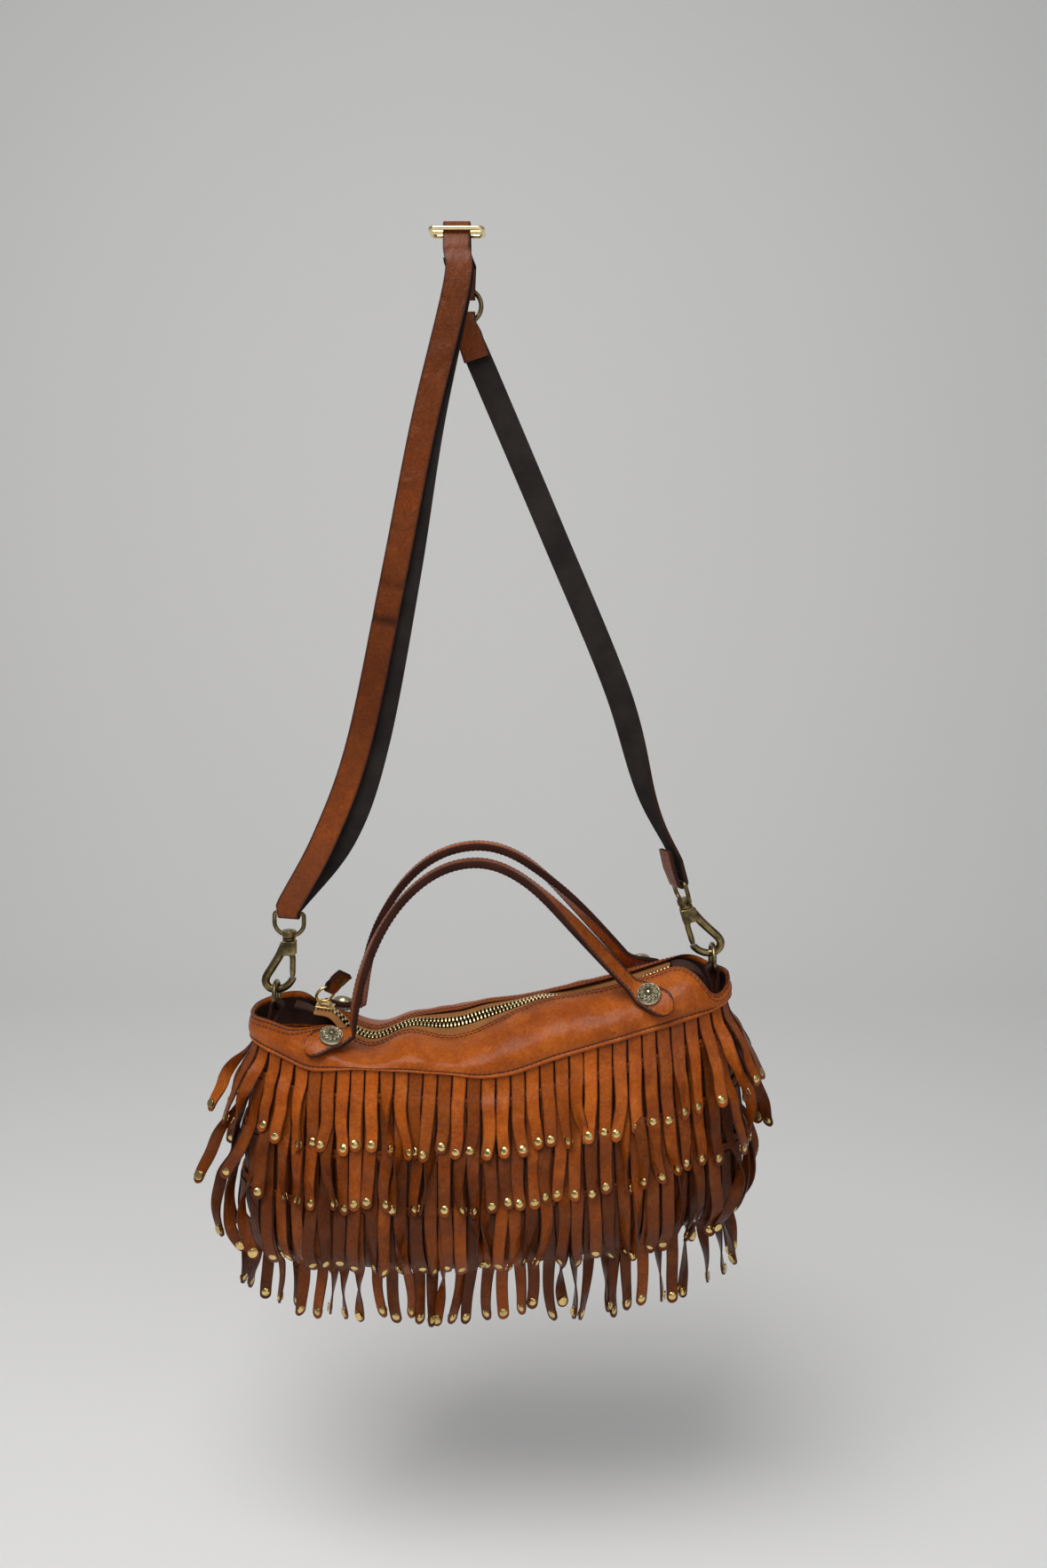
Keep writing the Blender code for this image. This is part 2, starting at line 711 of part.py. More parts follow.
SLIDER_MIDDLE = SLIDER_LENGTH / 2 + GAP
PLATE_LOW = TOOTH_HALF_HEIGHT + SLIDER_CLEARANCE
PLATE_TOP = PLATE_LOW + SLIDER_PLATE
PULL_AXIS_UP = PLATE_TOP + PULL_RING_WIRE + GAP


def build_slider():
    """Slider: two plates on a post that passes between the rows, and the bail for its pull."""
    data = bmesh.new()
    start = SLIDER_MIDDLE - SLIDER_LENGTH / 2
    end = SLIDER_MIDDLE + SLIDER_LENGTH / 2
    post_end = start + SLIDER_POST_LENGTH
    half = SLIDER_HALF_WIDTH
    post = SLIDER_POST_HALF
    outline = [(-half, PLATE_LOW), (-post, PLATE_LOW), (-post, -PLATE_LOW), (-half, -PLATE_LOW),
               (-half, -PLATE_TOP), (half, -PLATE_TOP), (half, -PLATE_LOW), (post, -PLATE_LOW),
               (post, PLATE_LOW), (half, PLATE_LOW), (half, PLATE_TOP), (-half, PLATE_TOP)]
    first = [data.verts.new(zip_place(start, across, up)) for across, up in outline]
    second = [data.verts.new(zip_place(post_end, across, up)) for across, up in outline]
    for number in range(len(outline)):
        after = (number + 1) % len(outline)
        data.faces.new((first[number], first[after], second[after], second[number]))
    data.faces.new((first[0], first[1], first[8], first[9], first[10], first[11]))
    data.faces.new((first[3], first[4], first[5], first[6], first[7], first[2]))
    data.faces.new((first[1], first[2], first[7], first[8]))
    data.faces.new((second[1], second[2], second[7], second[8]))
    taper = 0.8
    upper_end = []
    lower_end = []
    for across, up in outline:
        vertex = data.verts.new(zip_place(end, across * taper, up))
        (upper_end if up > 0 else lower_end).append(vertex)
    upper = [second[number] for number in (0, 1, 8, 9, 10, 11)]
    lower = [second[number] for number in (2, 3, 4, 5, 6, 7)]
    for near, far in ((upper, upper_end), (lower, lower_end)):
        for number in range(len(near)):
            after = (number + 1) % len(near)
            data.faces.new((near[number], near[after], far[after], far[number]))
        data.faces.new(far)
    item = finish("zip_slider", data, "brass", 30, ZIP_CENTRE)
    bail = bmesh.new()
    rings = []
    low = PLATE_TOP - 0.0004
    peak = PLATE_TOP + BAIL_RISE
    reach = BAIL_HALF_LENGTH
    half_bail = BAIL_THICKNESS / 2
    route = ((-reach, low), (-reach, peak - 0.001), (-reach * 0.6, peak), (reach * 0.6, peak),
             (reach, peak - 0.001), (reach, low))
    for number, (along, up) in enumerate(route):
        before = route[max(number - 1, 0)]
        after = route[min(number + 1, len(route) - 1)]
        direction = Vector((after[0] - before[0], after[1] - before[1])).normalized()
        side = Vector((-direction.y, direction.x)) * half_bail
        rings.append([zip_place(SLIDER_MIDDLE + along + side.x * sign_u, wide * 0.0011,
                                up + side.y * sign_u)
                      for sign_u, wide in ((-1, -1), (1, -1), (1, 1), (-1, 1))])
    skin(bail, rings)
    bail_item = finish("bail_part", bail, "brass", 30, ZIP_CENTRE)
    join(item, bail_item)
    return item


def join(item, other):
    """Add another shape to an object as one solid."""
    adding = item.modifiers.new("join", "BOOLEAN")
    adding.operation = "UNION"
    adding.solver = "EXACT"
    adding.object = other
    other.hide_render = True
    other.display_type = "WIRE"


def cut(item, other):
    """Cut a shape out of an object."""
    cutting = item.modifiers.new("cut", "BOOLEAN")
    cutting.operation = "DIFFERENCE"
    cutting.solver = "EXACT"
    cutting.object = other
    other.hide_render = True
    other.display_type = "WIRE"


def pull_frame():
    """Place on which the pull turns, its leaning direction, its width direction and its face."""
    place = zip_place(SLIDER_MIDDLE, 0.0, PULL_AXIS_UP)
    ahead = (zip_place(SLIDER_MIDDLE + 0.001) - zip_place(SLIDER_MIDDLE)).normalized()
    up = (zip_place(SLIDER_MIDDLE, 0.0, 0.001) - zip_place(SLIDER_MIDDLE)).normalized()
    lean = up * math.cos(PULL_LEAN) + ahead * math.sin(PULL_LEAN)
    face = up * math.sin(PULL_LEAN) - ahead * math.cos(PULL_LEAN)
    return place, lean, ZIP_AXIS, face


def torus(data, centre, first, second, radius, wire, around=20, sides=6, stretch=0.0):
    """A round ring in the plane of two directions, stretched along the second if asked."""
    normal = first.cross(second)
    rings = []
    for number in range(around):
        angle = 2 * math.pi * number / around
        out = first * math.cos(angle) + second * math.sin(angle)
        shift = second * (stretch * (1 if math.sin(angle) > 0 else -1))
        rings.append(ring_section(centre + out * radius + shift, out, normal, wire, wire, sides))
    skin(data, rings, closed=True)


def build_pull():
    """Pull ring, the leather tab folded over it, and its rivet."""
    place, lean, wide, face = pull_frame()
    centre = place + lean * PULL_RING_RADIUS
    data = bmesh.new()
    torus(data, centre, wide, lean, PULL_RING_RADIUS, PULL_RING_WIRE, 18, 6)
    ring = finish("zip_pull_ring", data, "brass", 60, place)
    data = bmesh.new()
    fold = PULL_RING_WIRE + GAP * 2 + PULL_TAB_LEATHER / 2
    base = place + lean * (2 * PULL_RING_RADIUS)
    rings = []
    half = PULL_TAB_HALF_WIDTH
    fold_width = PULL_TAB_HALF_WIDTH * 0.55
    sagitta = PULL_RING_RADIUS - math.sqrt(PULL_RING_RADIUS ** 2 - fold_width ** 2)
    route = []
    for step in range(7):
        angle = math.pi * step / 6
        route.append((-(fold + sagitta) * math.sin(angle), -fold * math.cos(angle), fold_width))
    inside = 0.5 * (PULL_TAB_LEATHER + GAP)
    spread = ((0.006, half), (0.45 * PULL_TAB_LENGTH, half), (PULL_TAB_LENGTH, half * 0.9))
    lower = [(length, -inside, width) for length, width in reversed(spread)]
    upper = [(length, inside, width) for length, width in spread]
    points = lower + route + upper
    for number, (length, off, width) in enumerate(points):
        before = points[max(number - 1, 0)]
        after = points[min(number + 1, len(points) - 1)]
        direction = Vector((after[0] - before[0], after[1] - before[1])).normalized()
        normal = lean * -direction.y + face * direction.x
        rings.append(flat_section(base + lean * length + face * off, wide, normal,
                                  width, PULL_TAB_LEATHER / 2))
    skin(data, rings)
    tab = finish("zip_pull_tab", data, "leather", 40, place)
    data = bmesh.new()
    spot = base + lean * (0.42 * PULL_TAB_LENGTH) + face * (inside + PULL_TAB_LEATHER / 2 + GAP)
    rings = [ring_section(spot, wide, lean, PULL_RIVET_RADIUS, PULL_RIVET_RADIUS, 12),
             ring_section(spot + face * PULL_RIVET_HEIGHT * 0.6, wide, lean,
                          PULL_RIVET_RADIUS * 0.9, PULL_RIVET_RADIUS * 0.9, 12),
             ring_section(spot + face * PULL_RIVET_HEIGHT, wide, lean,
                          PULL_RIVET_RADIUS * 0.5, PULL_RIVET_RADIUS * 0.5, 12)]
    skin(data, rings)
    rivet = finish("zip_pull_rivet", data, "antique_brass", 40, place)
    return ring, tab, rivet


def yoke_surface(u, h, side, outward):
    """World place and outward direction on the top band's face, front -1 or back 1."""
    share = h / yoke_top(u)
    reach = edge_plan(u) + yoke_out(share)
    slope_u = (edge_plan(u + 0.002) - edge_plan(u - 0.002)) / 0.004
    top = yoke_top(u)
    slope_h = (yoke_out(min(share + 0.05, 1.0)) - yoke_out(share - 0.05)) / (0.1 * top)
    normal = Vector((-slope_u, side, -slope_h)).normalized()
    return hang(u, side * reach, h) + normal * outward, normal


def build_handle(name, side, drop):
    """One flat leather handle: a tab on the band at each end and the arch between them."""
    data = bmesh.new()
    rings = []
    lift = TAB_LIFT + TAB_THICKNESS / 2
    tab_places = ((-1.0, 0.45), (-0.86, 0.8), (-0.5, 1.0), (0.0, 1.0), (0.6, 0.86), (1.0, 0.70))
    for end in (-1, 1):
        part = []
        for share, width in tab_places:
            length = share * (TAB_BELOW if share < 0 else TAB_ABOVE)
            u = end * (HANDLE_SPAN - length * math.sin(TAB_SLANT))
            h = CONCHO_HEIGHT + length * math.cos(TAB_SLANT)
            place, normal = yoke_surface(u, h, side, lift + 0.0008 * max(share, 0))
            direction = Vector((-end * math.sin(TAB_SLANT), 0.0, math.cos(TAB_SLANT)
                                - end * hang_slope(u) * math.sin(TAB_SLANT)))
            direction = (direction - normal * direction.dot(normal)).normalized()
            across = direction.cross(normal) * -end
            part.append((place, across, normal, TAB_WIDTH / 2 * width, TAB_THICKNESS / 2))
        if end < 0:
            start = part
        else:
            finish_part = part[::-1]
    left = start[-1][0]
    right = finish_part[0][0]
    top = (left + right) / 2
    top.z = (hang(-HANDLE_SPAN, 0, CONCHO_HEIGHT).z + hang(HANDLE_SPAN, 0, CONCHO_HEIGHT).z) / 2
    top.z += HANDLE_RISE - drop
    top.y = side * HANDLE_TOP_APART
    arch = []
    for number in range(1, HANDLE_POINTS):
        t = number / HANDLE_POINTS
        from_middle = 2 * t - 1
        base = left.lerp(right, t)
        bow = 1 - abs(from_middle) ** 2.1
        y_share = (1 - from_middle ** 2) ** 2
        stretch = 0.012 * math.sin(2 * math.pi * t)
        place = Vector((base.x - stretch, base.y + (top.y - base.y) * y_share,
                        base.z + (top.z - (left.z + right.z) / 2) * bow))
        arch.append(place)
    line = [left] + arch + [right]
    ways = tangents(line)
    rings_data = list(start)
    sideways = Vector((0, -1, 0))
    for number in range(1, len(line) - 1):
        t = number / HANDLE_POINTS
        turned = ease(min(t, 1 - t) * 3.6)
        near = start[-1] if t < 0.5 else finish_part[0]
        across = near[1].lerp(sideways, turned)
        across = (across - ways[number] * across.dot(ways[number])).normalized()
        up = across.cross(ways[number])
        grow = ease(min(t, 1 - t) * 6)
        width = near[3] + (HANDLE_WIDTH / 2 - near[3]) * grow
        thick = near[4] + (HANDLE_THICKNESS / 2 - near[4]) * grow
        rings_data.append((line[number], across, up, width, thick))
    rings_data += finish_part
    for place, across, up, width, thick in rings_data:
        rings.append(flat_section(place, across, up, width, thick, thick * 0.45))
    skin(data, rings)
    return finish(name, data, "leather", 40)


def build_concho(name, u_side, side):
    """Domed ornamental stud on a handle's tab."""
    place, normal = yoke_surface(u_side * HANDLE_SPAN, CONCHO_HEIGHT, side,
                                 TAB_LIFT + TAB_THICKNESS + GAP)
    across = Vector((1, 0, 0)).cross(normal).normalized()
    up = normal.cross(across)
    data = bmesh.new()
    rings = []
    shape = ((1.0, 0.0), (1.0, CONCHO_RIM), (0.86, CONCHO_RIM * 1.1), (0.66, CONCHO_DOME * 0.72),
             (0.34, CONCHO_DOME * 0.95))
    for share, rise in shape:
        radius = CONCHO_RADIUS * share
        rings.append(ring_section(place + normal * rise, across, up, radius, radius, CONCHO_SIDES))
    skin(data, rings)
    return finish(name, data, "concho_metal", 30)


def body_end(half_width):
    """How far the body's end wall reaches at a half width, on its flat faces."""
    tip, _ = outline_at(0.0)
    corner, _ = outline_at(PERIMETER / BODY_COLUMNS)
    return tip.x + (corner.x - tip.x) * half_width / corner.y


def ring_centre(index):
    """Middle of the ring at an end of the bag."""
    return hang(RING_U[index], 0.0, RING_H)


def build_end_ring(name, index):
    """Round ring that carries an end of the bag."""
    centre = ring_centre(index)
    data = bmesh.new()
    torus(data, centre, Vector((0, 1, 0)), Vector((0, 0, 1)), RING_RADIUS, RING_WIRE, 18, 6)
    pivot = centre - Vector((0, 0, RING_RADIUS))
    return finish(name, data, "antique_brass", 60, pivot)


def build_end_loop(name, index):
    """Leather loop sewn into the end of the bag, through which its ring hangs."""
    centre = ring_centre(index)
    inner = RING_RADIUS - RING_WIRE
    half = END_LOOP_WIDTH / 2
    chord = inner - math.sqrt(inner ** 2 - half ** 2)
    seat = centre.z - inner + chord + GAP + LEATHER / 2
    fold = RING_WIRE + GAP + LEATHER / 2 + 0.0004
    sign = -1 if index == 0 else 1
    wall = body_end(half * END_LOOP_FLARE) - LEATHER - LAYER_GAP - LEATHER / 2
    feet = []
    for reach in (wall, wall - LEATHER - GAP * 2):
        leg = []
        for h in (END_LOOP_FOOT, END_LOOP_BEND):
            place = hang(sign * reach, 0.0, h)
            leg.append((place.x - centre.x, place.z, END_LOOP_FLARE))
        feet.append(leg)
    sides = []
    for side in (sign, -sign):
        sides.append([(side * fold, seat - fold * 1.3, 1.0),
                      (side * fold * 0.8, seat - fold * 0.35, 1.0)])
    route = feet[0] + sides[0] + [(0.0, seat, 1.0)] + sides[1][::-1] + feet[1][::-1]
    data = bmesh.new()
    rings = []
    for number, (x, z, width) in enumerate(route):
        before = route[max(number - 1, 0)]
        after = route[min(number + 1, len(route) - 1)]
        direction = Vector((after[0] - before[0], 0, after[1] - before[1])).normalized()
        normal = Vector((-direction.z, 0, direction.x))
        rings.append(flat_section(Vector((centre.x + x, 0, z)), Vector((0, 1, 0)), normal,
                                  half * width, LEATHER / 2))
    skin(data, rings)
    return finish(name, data, "leather", 50)


class Hook:
    """Frame of a snap hook: its pin, its outward and upward directions."""

    def __init__(self, index):
        self.index = index
        self.side = -1 if index == 0 else 1
        tilt = HOOK_TILT[index]
        self.up = Vector((-self.side * math.sin(tilt), 0.0, math.cos(tilt)))
        out = Vector((self.side, 0.0, 0.0))
        self.out = (out - self.up * out.dot(self.up)).normalized()
        self.depth = Vector((0, 1, 0))
        ring = ring_centre(index)
        reach = RING_RADIUS - RING_WIRE - HOOK_WIRE - RING_PLAY
        bar = ring + Vector((0, 0, reach))
        self.pin = bar - self.out * HOOK_BAR_PLACE[0] - self.up * HOOK_BAR_PLACE[1]
        self.swivel = self.at(SWIVEL_X, 0.0)
        self.swivel_low = HOOK_HEAD_TOP + GAP
        self.swivel_top = self.swivel_low + SWIVEL_HEIGHT
        self.eye_turn = EYE_TURN[index]
        self.eye_across = (self.out * math.cos(self.eye_turn)
                           + self.depth * math.sin(self.eye_turn) * -self.side)
        self.eye_depth = self.up.cross(self.eye_across)

    def at(self, out, up, depth=0.0):
        """World place of a point of the hook."""
        return self.pin + self.out * out + self.up * up + self.depth * depth

    def eye(self, across, up):
        """World place of a point of the swivel eye."""
        return self.at(SWIVEL_X, self.swivel_low + up) + self.eye_across * across


HOOKS = (Hook(0), Hook(1))
EYE_BAR_UP = SWIVEL_HEIGHT * 0.45 + EYE_HEIGHT


def hook_cylinder(name, hook, out, up, radius, half, sides=PIN_SIDES):
    """A cylinder across the hook, as a pin or a cutter."""
    data = bmesh.new()
    skin(data, [ring_section(hook.at(out, up, depth), hook.out, hook.up, radius, radius, sides)
                for depth in (-half, half)])
    return finish(name, data, "antique_brass", 60, hook.pin)


def build_hook_body(name, hook):
    """Cast hook: head with a slot for the gate, arm and nose."""
    data = bmesh.new()
    curve = smooth_route([(x, z, 0.0) for x, z in HOOK_ARM], 2)
    ways = tangents(curve)
    rings = []
    count = len(curve) - 1
    for number, (point, way) in enumerate(zip(curve, ways)):
        centre = hook.at(point.x, point.y)
        normal = hook.out * -way.y + hook.up * way.x
        wire = HOOK_WIRE * (1.15 - 0.25 * number / count)
        rings.append(ring_section(centre, normal, hook.depth, wire, wire, 8))
    skin(data, rings)
    item = finish(name, data, "antique_brass", 60, hook.swivel)
    head = bmesh.new()
    rings = []
    half = HOOK_HEAD_HALF
    shape = ((HOOK_HEAD_TOP, 0.80, 0.0008), (HOOK_HEAD_TOP * 0.75, 0.95, 0.0008),
             (0.0, 1.0, 0.0010), (-HOOK_HEAD_BOTTOM, 0.92, 0.0014))
    for up, share, shift in shape:
        rings.append(flat_section(hook.at(shift, up), hook.out, hook.depth, half * share,
                                  HOOK_HEAD_DEPTH * (0.85 + 0.15 * share), 0.0012))
    skin(head, rings)
    join(item, finish(name + "_head_shape", head, "antique_brass", 40, hook.swivel))
    slot = bmesh.new()
    slot_rings = []
    for up in (FORK_SLOT_TOP, -HOOK_HEAD_BOTTOM - 0.002):
        centre = hook.at((FORK_SLOT_INNER - FORK_SLOT_OPEN) / 2, up)
        slot_rings.append(flat_section(centre, hook.out, hook.depth,
                                       (FORK_SLOT_INNER + FORK_SLOT_OPEN) / 2, FORK_SLOT_HALF))
    skin(slot, slot_rings)
    cut(item, finish(name + "_slot_shape", slot, "antique_brass", 0, hook.swivel))
    bore = hook_cylinder(name + "_bore_shape", hook, 0.0, 0.0, PIN_RADIUS + GAP,
                         HOOK_HEAD_DEPTH * 2)
    cut(item, bore)
    return item


def build_gate(name, hook):
    """Sprung gate that closes the hook, with a bore for its pin."""
    data = bmesh.new()
    rings = []
    shape = ((0.0026, 0.0018, GATE_HEAD_HALF, 0.0), (0.0, GATE_HEAD_RADIUS, GATE_HEAD_HALF, 0.0),
             (-0.0032, 0.0024, GATE_HEAD_HALF, GATE_X * 0.5),
             (-0.0052, GATE_WIRE, GATE_WIRE * 0.9, GATE_X),
             (-GATE_TIP * 0.6, GATE_WIRE, GATE_WIRE, GATE_X),
             (-GATE_TIP, GATE_WIRE * 0.9, GATE_WIRE * 0.9, GATE_X))
    for up, wide, deep, out in shape:
        rings.append(ring_section(hook.at(out, up), hook.out, hook.depth, wide, deep, 8))
    skin(data, rings)
    item = finish(name, data, "antique_brass", 50, hook.pin)
    bore = hook_cylinder(name + "_bore_shape", hook, 0.0, 0.0, PIN_RADIUS + GAP,
                         GATE_HEAD_HALF * 3)
    cut(item, bore)
    return item


def build_eye(name, hook):
    """Swivel eye: a D-shaped wire ring on a turned barrel, which holds the hook's stem."""
    data = bmesh.new()
    centre_up = SWIVEL_HEIGHT * 0.45
    half = EYE_HALF_WIDTH
    top = centre_up + EYE_HEIGHT
    corner = EYE_CORNER
    points = [(0.0, centre_up)]
    bottom_curve = 5
    for step in range(1, bottom_curve + 1):
        angle = 0.5 * math.pi * step / bottom_curve
        points.append((half * math.sin(angle), centre_up + EYE_HEIGHT * 0.55 * (1 - math.cos(angle))))
    points.append((half, top - corner))
    points.append((half - corner * 0.3, top - corner * 0.3))
    points.append((half - corner, top))
    mirrored = [(-x, z) for x, z in reversed(points[1:])]
    points = points + mirrored
    rings = []
    count = len(points)
    for number, (x, z) in enumerate(points):
        before = points[number - 1]
        after = points[(number + 1) % count]
        direction = Vector((after[0] - before[0], after[1] - before[1])).normalized()
        normal = hook.eye_across * -direction.y + hook.up * direction.x
        rings.append(ring_section(hook.eye(x, z), normal, hook.eye_depth, EYE_WIRE, EYE_WIRE, 8))
    skin(data, rings, closed=True)
    item = finish(name, data, "antique_brass", 60, hook.swivel)
    barrel = bmesh.new()
    shape = ((0.0, 0.86), (0.0008, 1.0), (SWIVEL_HEIGHT - 0.0008, 1.0), (SWIVEL_HEIGHT, 0.86))
    skin(barrel, [ring_section(hook.eye(0.0, up), hook.out, hook.depth, SWIVEL_RADIUS * share,
                               SWIVEL_RADIUS * share, 14) for up, share in shape])
    join(item, finish(name + "_barrel_shape", barrel, "antique_brass", 50, hook.swivel))
    hole = bmesh.new()
    radius = SWIVEL_STEM_RADIUS + GAP
    wide = SWIVEL_HEAD_RADIUS + GAP
    step_up = SWIVEL_HEIGHT - SWIVEL_HEAD_HEIGHT - GAP
    shape = ((-0.002, radius), (step_up, radius), (step_up + 0.00001, wide),
             (SWIVEL_HEIGHT + 0.002, wide))
    skin(hole, [ring_section(hook.eye(0.0, up), hook.out, hook.depth, size, size, 12)
                for up, size in shape])
    cut(item, finish(name + "_hole_shape", hole, "antique_brass", 0, hook.swivel))
    return item


def add_stem(item, name, hook):
    """Stem and riveted head of the hook, held in its eye."""
    data = bmesh.new()
    step_up = hook.swivel_top - SWIVEL_HEAD_HEIGHT
    shape = ((HOOK_HEAD_TOP - 0.0015, SWIVEL_STEM_RADIUS), (step_up, SWIVEL_STEM_RADIUS),
             (step_up + 0.00001, SWIVEL_HEAD_RADIUS), (hook.swivel_top, SWIVEL_HEAD_RADIUS * 0.8))
    skin(data, [ring_section(hook.at(SWIVEL_X, up), hook.out, hook.depth, size, size, 10)
                for up, size in shape])
    join(item, finish(name + "_stem_shape", data, "antique_brass", 50, hook.swivel))


def sweep_strap(name, places, kind="leather"):
    """A flat strap through places given with their width direction and half width."""
    curve = [place for place, _, _ in places]
    ways = tangents(curve)
    data = bmesh.new()
    rings = []
    for (place, across, half), way in zip(places, ways):
        across = (across - way * across.dot(way)).normalized()
        rings.append(flat_section(place, across, across.cross(way), half, STRAP_LEATHER / 2))
    skin(data, rings)
    return finish(name, data, kind, 50)


def fold_places(centre, bar, toward, outward, radius, half, steps):
    """Places of a strap folded round a bar: half a turn from one face to the other."""
    places = []
    for step in range(steps + 1):
        angle = math.pi * step / steps
        spot = centre + outward * (radius * math.cos(angle)) + toward * (radius * math.sin(angle))
        places.append((spot, bar, half))
    return places


def build_strap_main():
    """Long strap: return run, fold in the left eye, front run, slide, and loop for the ring."""
    hook = HOOKS[0]
    half = STRAP_WIDTH / 2
    fold = EYE_WIRE + GAP + STRAP_LEATHER / 2
    bar = hook.eye(0.0, EYE_BAR_UP)
    across = hook.eye_across * -1.0
    front = hook.eye_depth if hook.eye_depth.y < 0 else -hook.eye_depth
    left = [Vector((x, STRAP_FRONT_Y, z)) for x, z in STRAP_LEFT_ROUTE]
    climb = smooth_route([bar + front * fold + hook.up * 0.004] + left[::-1]
                         + [Vector((0.0, STRAP_FRONT_Y * 0.8, -0.008))], 4)
    back = [point + Vector((RETURN_SHIFT, 0, 0)) for point in left]
    for point in back:
        point.y += STRAP_LEATHER + 0.0012
    fall = smooth_route([Vector((RETURN_SHIFT * 0.3, STRAP_FRONT_Y + STRAP_LEATHER + 0.0012,
                                 RETURN_TOP))] + back + [bar - front * fold + hook.up * 0.004], 4)
    wide = Vector((1, 0, 0))
    places = []
    for number, point in enumerate(fall):
        share = ease(number / (len(fall) - 1) * 3 - 2)
        places.append((point, wide.lerp(across, share), half))
    places += fold_places(bar, across, -hook.up, -front, fold, half * STRAP_PINCH, 6)
    for number, point in enumerate(climb):
        share = ease(1 - number / (len(climb) - 1) * 3)
        places.append((point, wide.lerp(across, share), half))
    over = SLIDE_WIRE * 2 + GAP + STRAP_LEATHER / 2
    inside = SLIDE_HALF_WIDTH - SLIDE_WIRE - GAP * 2 - STRAP_LEATHER / 2
    top = [(-inside, 0.0), (-inside, 2 * SLIDE_WIRE), (-inside * 0.5, over - 0.0004), (0.0, over),
           (inside * 0.5, over - 0.0004), (inside, 2 * SLIDE_WIRE), (inside, 0.0),
           (STRAP_BACK_Y, -0.010)]
    places += [(Vector((0.0, y, z)), wide, half) for y, z in top]
    ring = Vector(ORING_CENTRE)
    ring_top = ring + Vector((0, 0, ORING_RADIUS))
    inner = ORING_RADIUS - ORING_WIRE
    loop_half = half * 0.80
    seat = ORING_RADIUS - math.sqrt(inner ** 2 - loop_half ** 2) + GAP + STRAP_LEATHER / 2
    grip = max(ORING_WIRE + GAP + STRAP_LEATHER / 2, seat - ORING_WIRE)
    behind = Vector((0, 1, 0))
    start = ring_top + behind * grip
    places += [(start + Vector((0, 0, 0.012)), wide, half * 0.9)]
    under = [(ring_top + behind * (grip * math.cos(angle)) - Vector((0, 0, 1)) * (seat * math.sin(angle)),
              wide, loop_half) for angle in (math.pi * step / 6 for step in range(7))]
    places += under
    places += [(ring_top - behind * grip + Vector((0, 0, 0.010)), wide, half * 0.9)]
    return sweep_strap("strap_main", places)


def build_strap_short():
    """Short strap from the ring behind the hanging point to the right hook."""
    hook = HOOKS[1]
    half = STRAP_WIDTH / 2
    ring = Vector(ORING_CENTRE)
    ring_low = ring - Vector((0, 0, ORING_RADIUS))
    inner = ORING_RADIUS - ORING_WIRE
    loop_half = half * 0.80
    seat = ORING_RADIUS - math.sqrt(inner ** 2 - loop_half ** 2) + GAP + STRAP_LEATHER / 2
    grip = max(ORING_WIRE + GAP + STRAP_LEATHER / 2, seat - ORING_WIRE)
    wide = Vector((1, 0, 0))
    behind = Vector((0, 1, 0))
    down = Vector((0.32, 0, -0.95)).normalized()
    tilted = Vector((0.95, 0, 0.32)).normalized()
    places = []
    places.append((ring_low - behind * (STRAP_LEATHER + LAYER_GAP) + down * LOOP_END_LENGTH, tilted, half))
    places.append((ring_low - behind * grip + down * 0.008, tilted, half * 0.95))
    for step in range(7):
        angle = math.pi * step / 6
        spot = ring_low - behind * (grip * math.cos(angle)) + Vector((0, 0, 1)) * (seat * math.sin(angle))
        places.append((spot, wide, loop_half))
    fold = EYE_WIRE + GAP + STRAP_LEATHER / 2
    bar = hook.eye(0.0, EYE_BAR_UP)
    across = hook.eye_across * (1.0 if hook.eye_across.x > 0 else -1.0)
    face = hook.eye_depth * (1.0 if hook.eye_depth.y > 0 else -1.0)
    points = [ring_low + behind * grip + down * 0.010]
    points += [Vector((x, STRAP_BACK_Y * (1 + (z + 0.080) / 0.30), z)) for x, z in STRAP_RIGHT_ROUTE]
    points.append(bar + face * fold + hook.up * 0.014)
    run = smooth_route(points, 5)
    for number, point in enumerate(run):
        share = number / (len(run) - 1)
        turned = ease(share * 2.2 - 1.1)
        places.append((point, tilted.lerp(across, turned), half))
    places += fold_places(bar, across, -hook.up, face, fold, half * STRAP_PINCH, 6)
    places.append((bar - face * (fold + 0.0006) + hook.up * 0.010, across, half))
    places.append((bar - face * (fold - 0.0002) + hook.up * LOOP_END_LENGTH, across, half))
    return sweep_strap("strap_short", places)


def build_slide():
    """Adjuster slide: a wire frame with a middle bar."""
    data = bmesh.new()
    corner = 0.003
    points = []
    for x, y in ((1, -1), (1, 1), (-1, 1), (-1, -1)):
        middle = Vector((x * (SLIDE_HALF_LENGTH - corner), y * (SLIDE_HALF_WIDTH - corner), 0))
        first = math.atan2(y, x) - math.pi / 4
        for step in range(3):
            angle = round(first / (math.pi / 2)) * math.pi / 2 + math.pi / 4 * step
            points.append(middle + Vector((math.cos(angle), math.sin(angle), 0)) * corner)
    rings = []
    up = Vector((0, 0, 1))
    count = len(points)
    for number, point in enumerate(points):
        way = (points[(number + 1) % count] - points[number - 1]).normalized()
        rings.append(ring_section(point + up * SLIDE_WIRE, way.cross(up), up,
                                  SLIDE_WIRE, SLIDE_WIRE, 8))
    skin(data, rings, closed=True)
    item = finish("strap_adjuster", data, "brass", 60)
    bar = bmesh.new()
    reach = SLIDE_HALF_LENGTH - 0.0003
    skin(bar, [ring_section(Vector((x, 0, SLIDE_WIRE)), Vector((0, 1, 0)), up,
                            SLIDE_WIRE * 0.9, SLIDE_WIRE * 0.9, 8) for x in (-reach, reach)])
    join(item, finish("strap_adjuster_bar_shape", bar, "brass", 60))
    return item


